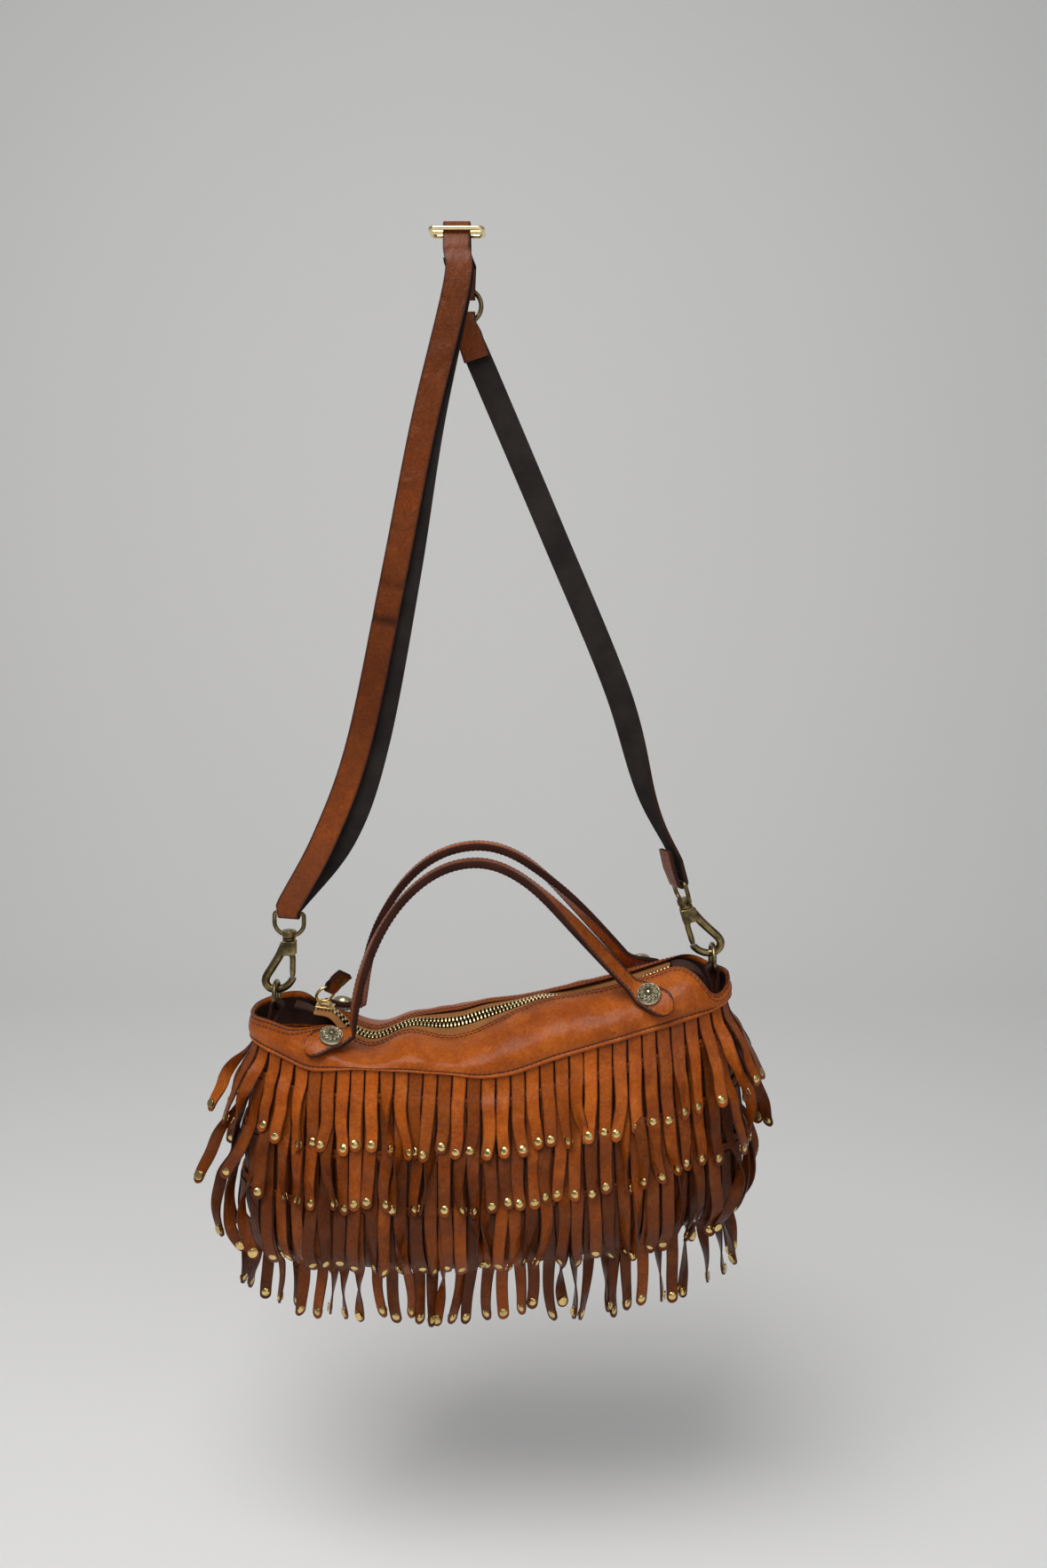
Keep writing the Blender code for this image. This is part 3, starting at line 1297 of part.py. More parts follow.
def build_oring():
    """Round ring that joins the two straps."""
    data = bmesh.new()
    torus(data, Vector(ORING_CENTRE), Vector((1, 0, 0)), Vector((0, 0, 1)),
          ORING_RADIUS, ORING_WIRE, 18, 6)
    return finish("strap_ring", data, "antique_brass", 60, ORING_CENTRE)


def main():
    """Build the whole bag."""
    clear_scene()
    build_body()
    strips = plan_fringe()
    for tier in range(len(TIER_ROOTS)):
        for side, label in ((0, "back"), (1, "front")):
            build_tier(tier, side, f"fringe_tier{tier + 1}_{label}", strips)
    build_yoke("yoke_back", 0)
    build_yoke("yoke_front", 1)
    build_teeth("zip_teeth_front", 1)
    build_teeth("zip_teeth_back", -1)
    build_tape("zip_tape_front", 1)
    build_tape("zip_tape_back", -1)
    build_end_tab("zip_end_tab_left", -END_TAB_LENGTH, -END_TAB_GAP)
    build_end_tab("zip_end_tab_right", ZIP_LENGTH + END_TAB_LENGTH * 0.7,
                  ZIP_LENGTH + END_TAB_GAP)
    build_slider()
    build_pull()
    build_handle("handle_front", -1, HANDLE_FRONT_DROP)
    build_handle("handle_back", 1, 0.0)
    for u_side, end_label in ((-1, "left"), (1, "right")):
        for side, face_label in ((-1, "front"), (1, "back")):
            build_concho(f"concho_{face_label}_{end_label}", u_side, side)
    for index, label in enumerate(("left", "right")):
        hook = HOOKS[index]
        build_end_ring(f"end_ring_{label}", index)
        build_end_loop(f"end_loop_{label}", index)
        body = build_hook_body(f"hook_{label}", hook)
        add_stem(body, f"hook_{label}", hook)
        build_gate(f"hook_gate_{label}", hook)
        hook_cylinder(f"hook_pin_{label}", hook, 0.0, 0.0, PIN_RADIUS, HOOK_HEAD_DEPTH * 0.9)
        build_eye(f"hook_eye_{label}", hook)
    build_slide()
    build_oring()
    build_strap_main()
    build_strap_short()


main()
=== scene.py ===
"""Looks of the fringed leather bag, laid out as a Blender add-on and run as a script.

Metres, +Z up, front towards -Y. The origin is the point on which the strap hangs. Places on
the bag are (u, v, h): u to the right of its middle, v to its back, h above the band's seam.
"""
import math
import random

import bpy
import numpy as np
from bpy.props import FloatProperty, FloatVectorProperty, IntProperty, PointerProperty
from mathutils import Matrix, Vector


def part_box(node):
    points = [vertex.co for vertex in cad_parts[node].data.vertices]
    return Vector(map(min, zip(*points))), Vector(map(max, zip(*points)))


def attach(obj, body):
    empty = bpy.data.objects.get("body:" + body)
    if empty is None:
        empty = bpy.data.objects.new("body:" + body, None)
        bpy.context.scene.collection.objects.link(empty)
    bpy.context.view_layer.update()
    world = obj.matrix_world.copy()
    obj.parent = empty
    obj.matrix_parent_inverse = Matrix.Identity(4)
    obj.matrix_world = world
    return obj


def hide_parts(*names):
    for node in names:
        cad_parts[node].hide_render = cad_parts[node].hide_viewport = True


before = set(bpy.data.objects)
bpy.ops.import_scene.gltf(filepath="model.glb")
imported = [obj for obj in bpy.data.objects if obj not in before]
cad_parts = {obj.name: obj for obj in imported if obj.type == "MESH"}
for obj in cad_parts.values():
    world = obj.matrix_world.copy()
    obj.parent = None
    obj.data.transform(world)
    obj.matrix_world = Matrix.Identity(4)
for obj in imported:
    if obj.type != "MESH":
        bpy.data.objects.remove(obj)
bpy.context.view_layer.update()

bl_info = {
    "name": "Fringed leather bag",
    "version": (1, 0, 0),
    "blender": (4, 5, 0),
    "location": "View3D > Sidebar > Bag",
    "description": "Models a fringed leather bag that hangs by its strap",
    "category": "Object",
}

# How the bag hangs, as in the CAD source
BAG_OFFSET = 0.017
SEAM_DROP = 0.487
HANG_SLOPE = 0.085
SAG = 0.016
SAG_LEVEL = 0.35
HALF_LENGTH = 0.148
HALF_DEPTH = 0.039
PLAN_POWER = 0.72
BODY_HEIGHT = 0.135
BODY_GROWTH = 0.0115
BODY_WIDEST = 0.72
BOTTOM_ROUND = 0.014
TIER_ROOTS = (0.0, 0.020, 0.055, 0.090)
TIER_ENDS = (0.050, 0.086, 0.130, 0.168)
RIGHT_EXTRA = (0.006, 0.003, 0.009, 0.010)
LEATHER = 0.0022

# Front seam's waves, and the band's upper edges, as heights over the plain sagging seam
SEAM_WAVE = ((-0.150, 0.004), (-0.128, 0.001), (-0.112, -0.0045), (-0.080, 0.0008), (-0.052, 0.0),
             (-0.024, -0.0022), (-0.005, -0.0065), (0.0146, -0.0058), (0.042, 0.0012),
             (0.070, 0.0045), (0.0975, 0.0060), (0.125, 0.0055), (0.150, 0.004))
FRONT_TOP = ((-0.150, 0.020), (-0.141, 0.0235), (-0.128, 0.0225), (-0.110, 0.0185), (-0.100, 0.0165),
             (-0.090, 0.0125), (-0.0817, 0.0070), (-0.071, 0.0058), (-0.0618, 0.0118),
             (-0.0533, 0.0160), (-0.0443, 0.0153), (-0.0353, 0.0121), (-0.0269, 0.0100),
             (-0.0178, 0.0113), (-0.0088, 0.0136), (0.0, 0.0171), (0.0087, 0.0210),
             (0.0172, 0.0242), (0.0262, 0.0273), (0.0352, 0.0297), (0.0574, 0.0300),
             (0.0834, 0.0310), (0.105, 0.0330), (0.118, 0.0350), (0.127, 0.0330), (0.133, 0.026),
             (0.139, 0.012), (0.1435, 0.009), (0.148, 0.017), (0.150, 0.018))
BACK_TOP = ((-0.150, 0.020), (-0.138, 0.0235), (-0.125, 0.0240), (-0.110, 0.0200), (-0.0909, 0.0145),
            (-0.0795, 0.0085), (-0.0685, 0.0090), (-0.0603, 0.0140), (-0.051, 0.0176),
            (-0.0406, 0.0192), (-0.0279, 0.0206), (-0.0158, 0.0215), (-0.0054, 0.0250),
            (0.0038, 0.0252), (0.0217, 0.0255), (0.040, 0.0275), (0.075, 0.0300), (0.105, 0.0335),
            (0.118, 0.0345), (0.130, 0.0300), (0.140, 0.022), (0.148, 0.017), (0.150, 0.018))
EDGE_APART = 0.0078       # how far the band's folded edge stays from the zip's middle

# Zip's arc and slider
ZIP_CENTRE = Vector((-0.028571, 0.0, -0.054406))
ZIP_RADIUS = 0.41984
ZIP_LENGTH = 0.23256
ZIP_BEGIN = math.atan2(-0.095 - ZIP_CENTRE.x, ZIP_CENTRE.z + 0.468)
SLIDER_MIDDLE = 0.0063
PULL_AXIS_UP = 0.0041
PULL_RING_RADIUS = 0.0060

# Handles
HANDLE_SPAN = 0.099
CONCHO_HEIGHTS = {-1: 0.0160, 1: 0.0275}
TAB_SLANTS = {-1: math.radians(58), 1: math.radians(48)}

# Hooks: pin, and directions up and out, in the order left, right
HOOK_PINS = (Vector((-0.10957, 0.0, -0.430123)), Vector((0.142058, 0.0, -0.408949)))
HOOK_UPS = (Vector((0.034899, 0.0, 0.999391)), Vector((-0.292372, 0.0, 0.956305)))
HOOK_OUTS = (Vector((-0.999391, 0.0, 0.034899)), Vector((0.956305, 0.0, 0.292372)))
EYE_TURNS = (math.radians(8), math.radians(72))
HOOK_ARM = ((0.0046, 0.0012), (0.0076, -0.0052), (0.0118, -0.0125), (0.0152, -0.0185),
            (0.0156, -0.0226), (0.0132, -0.0258), (0.0090, -0.0268), (0.0048, -0.0258),
            (0.0012, -0.0232), (-0.0012, -0.0198), (-0.0014, -0.0186))
SWIVEL_X = 0.0010
SWIVEL_LOW = 0.0063
SWIVEL_HEIGHT = 0.0062
EYE_HEIGHT = 0.0150
RING_CENTRES = (Vector((-0.1195, 0.0, -0.460092)), Vector((0.1585, 0.0, -0.435447)))

# Zip pull at rest
RING_LEAN = math.radians(8)
PULL_LEAN = math.radians(34)
PULL_TWIST = math.radians(52)
PULL_LENGTH = 0.0180
PULL_CURL = 75    # turns in radians per metre of leather
PULL_BEND = 1.1

# Metals and leather backs that no panel value sets
STUD_METAL = (0.78, 0.56, 0.22)
CONCHO_METAL = (0.80, 0.70, 0.45)
STRAP_FLESH = (0.012, 0.0095, 0.0085)

# Handles, from the photograph
ARCH_LEAN = 0.018

# Strap
STRAP_FRONT_Y = -0.0125
STRAP_BACK_Y = 0.0125
LEFT_ROUTE = ((0.000, -0.030), (-0.020, -0.108), (-0.039, -0.196), (-0.062, -0.297),
              (-0.084, -0.355))
RIGHT_ROUTE = ((0.0170, -0.080), (0.0560, -0.170), (0.0965, -0.266), (0.1160, -0.333))
# Each place of LEFT_ROUTE has the return run this far to its right
RETURN_SHIFTS = (0.001, 0.004, 0.008, 0.0105, 0.0115)
ORING_CENTRE = Vector((0.0035, 0.0125, -0.0375))

X = Vector((1, 0, 0))
Y = Vector((0, 1, 0))
Z = Vector((0, 0, 1))


def length_property(name, description, default):
    """A length setting in metres."""
    return FloatProperty(name=name, description=description, default=default, min=0.0,
                         precision=5, unit="LENGTH", subtype="DISTANCE")


def share_property(name, description, default):
    """A setting without a unit."""
    return FloatProperty(name=name, description=description, default=default, precision=3)


def angle_property(name, description, degrees):
    """An angle setting."""
    return FloatProperty(name=name, description=description, default=math.radians(degrees),
                         unit="ROTATION", subtype="ANGLE")


def colour_property(name, description, default):
    """A linear colour setting."""
    return FloatVectorProperty(name=name, description=description, default=default, size=3,
                               min=0.0, max=1.0, subtype="COLOR")


class BagSizes(bpy.types.PropertyGroup):
    """Sizes of the bag's pieces."""
    strips: IntProperty(name="Strips", description="Strips in each band of fringe", default=37)
    strip_leather: length_property("Strip leather", "Thickness of the fringe", 0.0011)
    slit: length_property("Slit", "Width of a slit between two strips", 0.0007)
    strip_end: share_property("Strip taper", "Width at the end against the root", 0.88)
    end_splay: length_property("End splay", "How far strips stand off at the bag's ends", 0.016)
    front_splay: length_property("Front splay", "How far strips stand off in the middle", 0.0035)
    stud_radius: length_property("Stud radius", "Radius of a fringe stud", 0.0031)
    stud_height: length_property("Stud height", "Height of a fringe stud's dome", 0.0019)
    stud_place: length_property("Stud place", "Stud's middle from the strip's end", 0.0046)
    stitch: length_property("Stitch", "Length of a stitch with its gap", 0.0030)
    thread: length_property("Thread", "Thickness of the thread", 0.00080)
    tooth_pitch: length_property("Tooth pitch", "Distance of two teeth in a row", 0.0024)
    tooth: length_property("Tooth", "Length of a zip tooth across the zip", 0.0034)
    ring_wire: length_property("Ring wire", "Radius of the end rings' wire", 0.0015)
    ring_radius: length_property("Ring radius", "Radius of the end rings", 0.0086)
    handle_width: length_property("Handle width", "Width of a handle", 0.0115)
    handle_thickness: length_property("Handle thickness", "Thickness of a handle", 0.0044)
    concho_radius: length_property("Concho radius", "Radius of an ornamental stud", 0.0076)
    concho_dome: length_property("Concho dome", "Height of an ornamental stud", 0.0042)
    concho_relief: length_property("Concho relief", "Depth of its pattern", 0.0009)
    strap_width: length_property("Strap width", "Width of the shoulder strap", 0.0156)
    strap_leather: length_property("Strap leather", "Thickness of the strap", 0.0023)
    slide_wire: length_property("Slide wire", "Radius of the adjuster slide's wire", 0.0013)
    oring_radius: length_property("O-ring radius", "Radius of the strap's round ring", 0.0098)
    oring_wire: length_property("O-ring wire", "Radius of its wire", 0.0014)


class BagColours(bpy.types.PropertyGroup):
    """Colours of the bag's materials."""
    tan: colour_property("Tan", "Cognac leather", (0.38, 0.078, 0.005))
    tan_light: colour_property("Light tan", "Rubbed and lit leather", (0.52, 0.130, 0.012))
    tan_dark: colour_property("Dark tan", "Handled and folded leather", (0.15, 0.025, 0.003))
    strap: colour_property("Strap", "Darker leather of the strap and handles", (0.20, 0.046, 0.009))
    # The edge colour also darkens the band's stitch grooves, as painted shade.
    edge: colour_property("Edge", "Painted and burnished edges", (0.040, 0.012, 0.007))
    suede: colour_property("Suede", "Flesh side of the leather", (0.030, 0.013, 0.009))
    thread: colour_property("Thread", "Sewing thread", (0.055, 0.013, 0.007))
    tape: colour_property("Tape", "Zip tape", (0.38, 0.150, 0.036))
    brass: colour_property("Brass", "Bright brass", (0.96, 0.79, 0.42))
    antique: colour_property("Antique brass", "Oxidised brass", (0.30, 0.225, 0.10))
    tarnish: colour_property("Tarnish", "Dark film on old metal", (0.035, 0.028, 0.015))
    floor: colour_property("Floor", "Floor and backdrop", (0.90, 0.89, 0.87))


class BagStage(bpy.types.PropertyGroup):
    """Camera, lights and floor."""
    camera_place: FloatVectorProperty(name="Camera", description="Place of the camera",
                                      default=(0.0384, -0.816, -0.1795), unit="LENGTH")
    camera_down: angle_property("Camera pitch", "How far the camera looks down", 10)
    camera_lens: share_property("Lens", "Focal length in millimetres", 30.6)
    floor_height: FloatProperty(name="Floor", description="Height of the floor", default=-0.86,
                                unit="LENGTH")
    wall_place: length_property("Wall", "Distance of the backdrop behind the bag", 1.6)
    key_power: share_property("Key light", "Power of the light above, in watts", 24)
    fill_power: share_property("Fill light", "Power of the light in front, in watts", 4)
    world: share_property("Surroundings", "Strength of the light from all round", 0.21)


def sizes():
    """The size settings in use."""
    return bpy.context.scene.bag_sizes


# Shaders

class Value:
    """A shader output that can be used in arithmetic."""

    def __init__(self, shader, socket):
        self.shader = shader
        self.socket = socket

    def math(self, operation, *others, clamp=False):
        """A Math node on this value and the others."""
        return self.shader.node("ShaderNodeMath", dict(enumerate((self, *others))),
                                operation=operation, use_clamp=clamp)

    def __add__(self, other):
        return self.math("ADD", other)

    def __radd__(self, other):
        return self.math("ADD", other)

    def __sub__(self, other):
        return self.math("SUBTRACT", other)

    def __rsub__(self, other):
        return self.shader.constant(other).math("SUBTRACT", self)

    def __mul__(self, other):
        return self.math("MULTIPLY", other)

    def __rmul__(self, other):
        return self.math("MULTIPLY", other)

    def __pow__(self, other):
        return self.math("POWER", other)

    def between(self, low, high):
        """0 under low, 1 over high, smooth between."""
        return self.shader.node("ShaderNodeMapRange", {0: self, 1: low, 2: high},
                                interpolation_type="SMOOTHSTEP")


class Shader:
    """A material with a Principled shader, and nodes made in one line each."""

    def __init__(self, name):
        self.material = bpy.data.materials.new("look_" + name)
        self.material.use_nodes = True
        self.tree = self.material.node_tree
        self.surface = self.tree.nodes["Principled BSDF"]

    def node(self, kind, inputs=None, output=0, **settings):
        """A node with its settings and inputs; its output as a value."""
        made = self.tree.nodes.new(kind)
        for key, value in settings.items():
            setattr(made, key, value)
        for key, value in (inputs or {}).items():
            self.plug(made.inputs[key], value)
        return Value(self, made.outputs[output])

    def plug(self, socket, value):
        """Link a value to a socket, or set a constant on it."""
        if isinstance(value, Value):
            self.tree.links.new(value.socket, socket)
        elif isinstance(value, (tuple, list)) and len(socket.default_value) == 4:
            socket.default_value = (*value[:3], 1.0)
        else:
            socket.default_value = value

    def constant(self, number):
        """A number as a value."""
        made = self.tree.nodes.new("ShaderNodeValue")
        made.outputs[0].default_value = number
        return Value(self, made.outputs[0])

    def place(self, stretch=(1, 1, 1)):
        """Object coordinates, stretched."""
        coordinates = self.node("ShaderNodeTexCoord", output="Object")
        return self.node("ShaderNodeVectorMath", {0: coordinates, 1: stretch},
                         operation="MULTIPLY")

    def noise(self, scale, detail=2.0, rough=0.5, stretch=(1, 1, 1), distort=0.0):
        """Noise from 0 to 1."""
        return self.node("ShaderNodeTexNoise",
                         {"Vector": self.place(stretch), "Scale": scale, "Detail": detail,
                          "Roughness": rough, "Distortion": distort})

    def cells(self, scale, feature="F1", stretch=(1, 1, 1)):
        """Distances in a cell pattern."""
        return self.node("ShaderNodeTexVoronoi", {"Vector": self.place(stretch), "Scale": scale},
                         output="Distance", feature=feature)

    def attribute(self, name):
        """A number stored on the mesh, 0 where there is none."""
        return self.node("ShaderNodeAttribute", output="Fac", attribute_name=name)

    def mix(self, share, first, second):
        """A colour between two."""
        made = self.tree.nodes.new("ShaderNodeMix")
        made.data_type = "RGBA"
        made.clamp_factor = True
        self.plug(made.inputs[0], share)
        self.plug(made.inputs[6], first)
        self.plug(made.inputs[7], second)
        return Value(self, made.outputs[2])

    def scaled(self, colour, factor):
        """A colour made lighter or darker."""
        grey = self.node("ShaderNodeCombineXYZ", {0: factor, 1: factor, 2: factor})
        return self.node("ShaderNodeVectorMath", {0: colour, 1: grey}, operation="MULTIPLY")

    def bump(self, height, distance, strength=1.0):
        """Use a height for the surface's normal."""
        self.set("Normal", self.node("ShaderNodeBump", {"Height": height, "Distance": distance,
                                                       "Strength": strength}))

    def set(self, name, value):
        """Set or link an input of the surface."""
        self.plug(self.surface.inputs[name], value)


def leather_surface(name, light, middle, dark, gloss=0.40, mottle=1.0):
    """Waxed grain leather: blotches, creases, pores, burnished edges."""
    colours = bpy.context.scene.bag_colours
    shader = Shader(name)
    broad = shader.noise(17.0, 3.0, 0.55, distort=0.4).between(0.34, 0.62)
    blotch = shader.noise(70.0, 4.0, 0.6).between(0.42, 0.72)
    streak = shader.noise(130.0, 3.0, 0.6, (1.0, 1.0, 0.30)).between(0.50, 0.80)
    colour = shader.mix(broad * (0.75 * mottle) + (1 - 0.75 * mottle), dark, middle)
    colour = shader.mix(blotch * (0.65 * mottle), colour, light)
    colour = shader.mix(streak * (0.35 * mottle), colour, dark)
    grain = shader.noise(520.0, 3.0, 0.6).between(0.30, 0.75)
    colour = shader.scaled(colour, grain * 0.30 + 0.84)
    # The tone attribute holds random tone and also painted shade set on the meshes.
    tone = shader.attribute("tone")
    colour = shader.scaled(colour, tone + 1.0)
    # The edge attribute darkens burnished edges, and the band's stitch grooves as painted shade.
    edge = shader.attribute("edge")
    colour = shader.mix((edge ** 2.0) * 0.92, colour, tuple(colours.edge))
    shader.set("Base Color", colour)
    rub = shader.noise(45.0, 4.0, 0.6)
    shader.set("Roughness", rub * 0.36 + (gloss - 0.20))
    shader.set("Coat Weight", 0.14)
    shader.set("Coat Roughness", 0.20)
    shader.set("Specular IOR Level", 0.12)
    pores = shader.cells(1150.0)
    crease = shader.noise(330.0, 4.0, 0.65, (1.0, 1.0, 0.45), 0.6)
    fold = shader.noise(85.0, 3.0, 0.5, (1.0, 1.0, 0.55), 0.8)
    shader.bump(pores * 0.25 + crease * 1.2 + fold * 4.0, 0.0007, 0.9)
    return shader.material


def suede_surface(name, colour):
    """Rough flesh side."""
    shader = Shader(name)
    nap = shader.noise(900.0, 4.0, 0.7)
    cloud = shader.noise(60.0, 3.0).between(0.3, 0.7)
    lighter = tuple(min(1.0, part * 2.3) for part in colour)
    shader.set("Base Color", shader.mix(cloud * 0.6 + nap * 0.25, colour, lighter))
    shader.set("Roughness", 0.93)
    shader.set("Specular IOR Level", 0.18)
    shader.bump(nap + shader.noise(240.0, 3.0) * 1.4, 0.0005, 0.9)
    return shader.material


def metal_surface(name, colour, tarnish, film, rough):
    """Brass with a dark film in hollows and patches."""
    shader = Shader(name)
    patch = shader.noise(120.0, 3.0, 0.55).between(0.38, 0.68)
    speck = shader.noise(900.0, 3.0, 0.6).between(0.46, 0.62)
    relief = shader.attribute("relief")
    share = patch * film + speck * (film * 0.22) + relief
    shader.set("Base Color", shader.mix(share, colour, tarnish))
    shader.set("Metallic", 1.0 - relief * 0.55)
    shader.set("Roughness", patch * 0.16 + rough + relief * 0.25)
    shader.bump(shader.noise(420.0, 3.0) + speck * 0.3, 0.00006, 0.6)
    return shader.material


def make_surface(kind):
    """Build the material of a kind."""
    colours = bpy.context.scene.bag_colours
    tan = tuple(colours.tan)
    light = tuple(colours.tan_light)
    dark = tuple(colours.tan_dark)
    strap = tuple(colours.strap)
    if kind == "tan_leather":
        return leather_surface(kind, light, tan, dark, 0.38, 0.75)
    if kind == "band_leather":
        return leather_surface(kind, light, tan, tuple(0.5 * (a + b) for a, b in zip(tan, dark)),
                               0.36)
    if kind == "strap_leather":
        return leather_surface(kind, tan, strap, dark, 0.36, 0.45)
    if kind == "flesh":
        return suede_surface(kind, STRAP_FLESH)
    if kind == "suede":
        return suede_surface(kind, tuple(colours.suede))
    if kind == "edge":
        return suede_surface(kind, tuple(0.6 * part for part in colours.edge))
    if kind == "fringe_edge":
        return suede_surface(kind, tuple(0.35 * (a + b) for a, b in zip(dark, colours.edge)))
    if kind == "bright_brass":
        return metal_surface(kind, tuple(colours.brass), tuple(colours.tarnish), 0.04, 0.15)
    if kind == "stud_brass":
        return metal_surface(kind, STUD_METAL, tuple(colours.tarnish), 0.30, 0.14)
    if kind == "antique_brass":
        return metal_surface(kind, tuple(colours.antique), tuple(colours.tarnish), 0.75, 0.24)
    if kind == "concho_metal":
        return metal_surface(kind, CONCHO_METAL, tuple(colours.tarnish), 0.12, 0.17)
    shader = Shader(kind)
    if kind == "thread":
        twist = shader.noise(1500.0, 2.0)
        shader.set("Base Color", shader.mix(twist, tuple(colours.thread), tuple(colours.edge)))
        shader.set("Roughness", 0.62)
    elif kind == "zip_tape":
        weave = shader.node("ShaderNodeTexWave", {"Vector": shader.place(), "Scale": 420.0,
                                                  "Distortion": 0.6, "Detail": 1.0}, output=1)
        worn = shader.noise(80.0, 3.0).between(0.3, 0.75)
        tape = tuple(colours.tape)
        shader.set("Base Color", shader.mix(worn * 0.5 + weave * 0.25, tape,
                                            tuple(part * 0.5 for part in tape)))
        shader.set("Roughness", 0.85)
        shader.bump(weave, 0.0003, 0.7)
    elif kind == "floor":
        shader.set("Base Color", tuple(colours.floor))
        shader.set("Roughness", 0.9)
        shader.set("Specular IOR Level", 0.1)
    return shader.material


def surface(kind):
    """The material of a kind, made when it is first asked for."""
    return bpy.data.materials.get("look_" + kind) or make_surface(kind)


# Meshes

def deselect():
    """Leave nothing selected before a piece is made."""
    for item in bpy.context.selected_objects:
        item.select_set(False)


def mesh_object(name, points, faces, kinds, face_kinds=None, smooth=50.0, **attributes):
    """An object from arrays: its points, faces, materials and numbers stored on its points."""
    deselect()
    mesh = bpy.data.meshes.new(name)
    mesh.from_pydata([tuple(point) for point in points], [], [tuple(face) for face in faces])
    for kind in kinds:
        mesh.materials.append(surface(kind))
    if face_kinds is not None:
        mesh.polygons.foreach_set("material_index", np.asarray(face_kinds, dtype=np.int32))
    for key, values in attributes.items():
        layer = mesh.attributes.new(key, "FLOAT", "POINT")
        layer.data.foreach_set("value", np.asarray(values, dtype=np.float32))
    item = bpy.data.objects.new(name, mesh)
    bpy.context.scene.collection.objects.link(item)
    settle(item, smooth)
    return item


def settle(item, smooth):
    """Point the faces outwards and shade the item smooth up to an angle."""
    deselect()
    bpy.context.view_layer.objects.active = item
    item.select_set(True)
    bpy.ops.object.mode_set(mode="EDIT")
    bpy.ops.mesh.select_all(action="SELECT")
    bpy.ops.mesh.normals_make_consistent(inside=False)
    bpy.ops.object.mode_set(mode="OBJECT")
    bpy.ops.object.shade_smooth_by_angle(angle=math.radians(smooth))
    item.select_set(False)


def apply_modifiers(item):
    """Apply every modifier of the item."""
    deselect()
    bpy.context.view_layer.objects.active = item
    item.select_set(True)
    for modifier in list(item.modifiers):
        bpy.ops.object.modifier_apply(modifier=modifier.name)
    item.select_set(False)


def bake_place(item):
    """Move an object's place, turn and scale into its mesh."""
    deselect()
    item.select_set(True)
    bpy.context.view_layer.objects.active = item
    bpy.ops.object.transform_apply(location=True, rotation=True, scale=True)
    item.select_set(False)


def read_mesh(item):
    """Points, faces and face materials of an object, which is then removed."""
    mesh = item.data
    points = np.empty(len(mesh.vertices) * 3)
    mesh.vertices.foreach_get("co", points)
    faces = [list(polygon.vertices) for polygon in mesh.polygons]
    kinds = [polygon.material_index for polygon in mesh.polygons]
    bpy.data.objects.remove(item, do_unlink=True)
    return points.reshape(-1, 3), faces, kinds


class Heap:
    """Collects copies of small shapes into one mesh."""

    def __init__(self):
        self.points = []
        self.faces = []
        self.kinds = []
        self.extra = {"edge": [], "tone": [], "relief": []}
        self.count = 0

    def add(self, points, faces, kinds, **extra):
        """Add a shape with a material number for each face."""
        self.points.append(points)
        shift = self.count
        self.faces += [[corner + shift for corner in face] for face in faces]
        self.kinds += list(kinds)
        for key, values in self.extra.items():
            value = extra.get(key, 0.0)
            values.append(np.broadcast_to(np.asarray(value, dtype=float), (len(points),)))
        self.count += len(points)

    def object(self, name, kinds, smooth=50.0):
        """Make the object."""
        extra = {key: np.concatenate(values) for key, values in self.extra.items()}
        return mesh_object(name, np.concatenate(self.points), self.faces, kinds, self.kinds,
                           smooth, **extra)


def unit(vectors):
    """Vectors of length 1."""
    vectors = np.asarray(vectors, dtype=float)
    return vectors / np.maximum(np.linalg.norm(vectors, axis=-1, keepdims=True), 1e-12)


def directions(points, closed=False):
    """Direction of travel at each point of a line."""
    points = np.asarray(points, dtype=float)
    if closed:
        return unit(np.roll(points, -1, axis=0) - np.roll(points, 1, axis=0))
    return unit(np.gradient(points, axis=0))


def curve(points, steps):
    """A smooth line through the points."""
    route = [np.asarray(point, dtype=float) for point in points]
    padded = [2 * route[0] - route[1]] + route + [2 * route[-1] - route[-2]]
    line = []
    for number in range(1, len(padded) - 2):
        before, start, end, after = padded[number - 1:number + 3]
        for step in range(steps):
            t = step / steps
            line.append(0.5 * (2 * start + (end - before) * t
                               + (2 * before - 5 * start + 4 * end - after) * t ** 2
                               + (3 * start - before - 3 * end + after) * t ** 3))
    line.append(route[-1])
    return np.array(line)


def ease(value):
    """0 to 1 with a soft start and end."""
    value = np.clip(value, 0.0, 1.0)
    return value * value * (3 - 2 * value)


def skin_faces(rows, size, closed=False, capped=True):
    """Faces between rings of points, and caps on open ends."""
    faces = []
    for row in range(rows if closed else rows - 1):
        here = row * size
        there = (row + 1) % rows * size
        for corner in range(size):
            after = (corner + 1) % size
            faces.append((here + corner, here + after, there + after, there + corner))
    if not closed and capped:
        faces.append(tuple(range(size - 1, -1, -1)))
        faces.append(tuple(range((rows - 1) * size, rows * size)))
    return faces


def flat_profile(across=5, corner=4):
    """Unit section of a flat strap: share across and up, and its rounded corners."""
    points = []
    for side in (1, -1):
        for share in np.linspace(-1, 1, across)[1:-1]:
            points.append((-side * share, side, 0.0, side))
        for step in range(corner):
            angle = math.pi / 2 * step / (corner - 1)
            points.append((-side, side, -side * math.sin(angle), side * math.cos(angle)))
        for step in range(corner):
            angle = math.pi / 2 * (1 - step / (corner - 1))
            points.append((-side, -side, -side * math.sin(angle), -side * math.cos(angle)))
    return np.array(points)


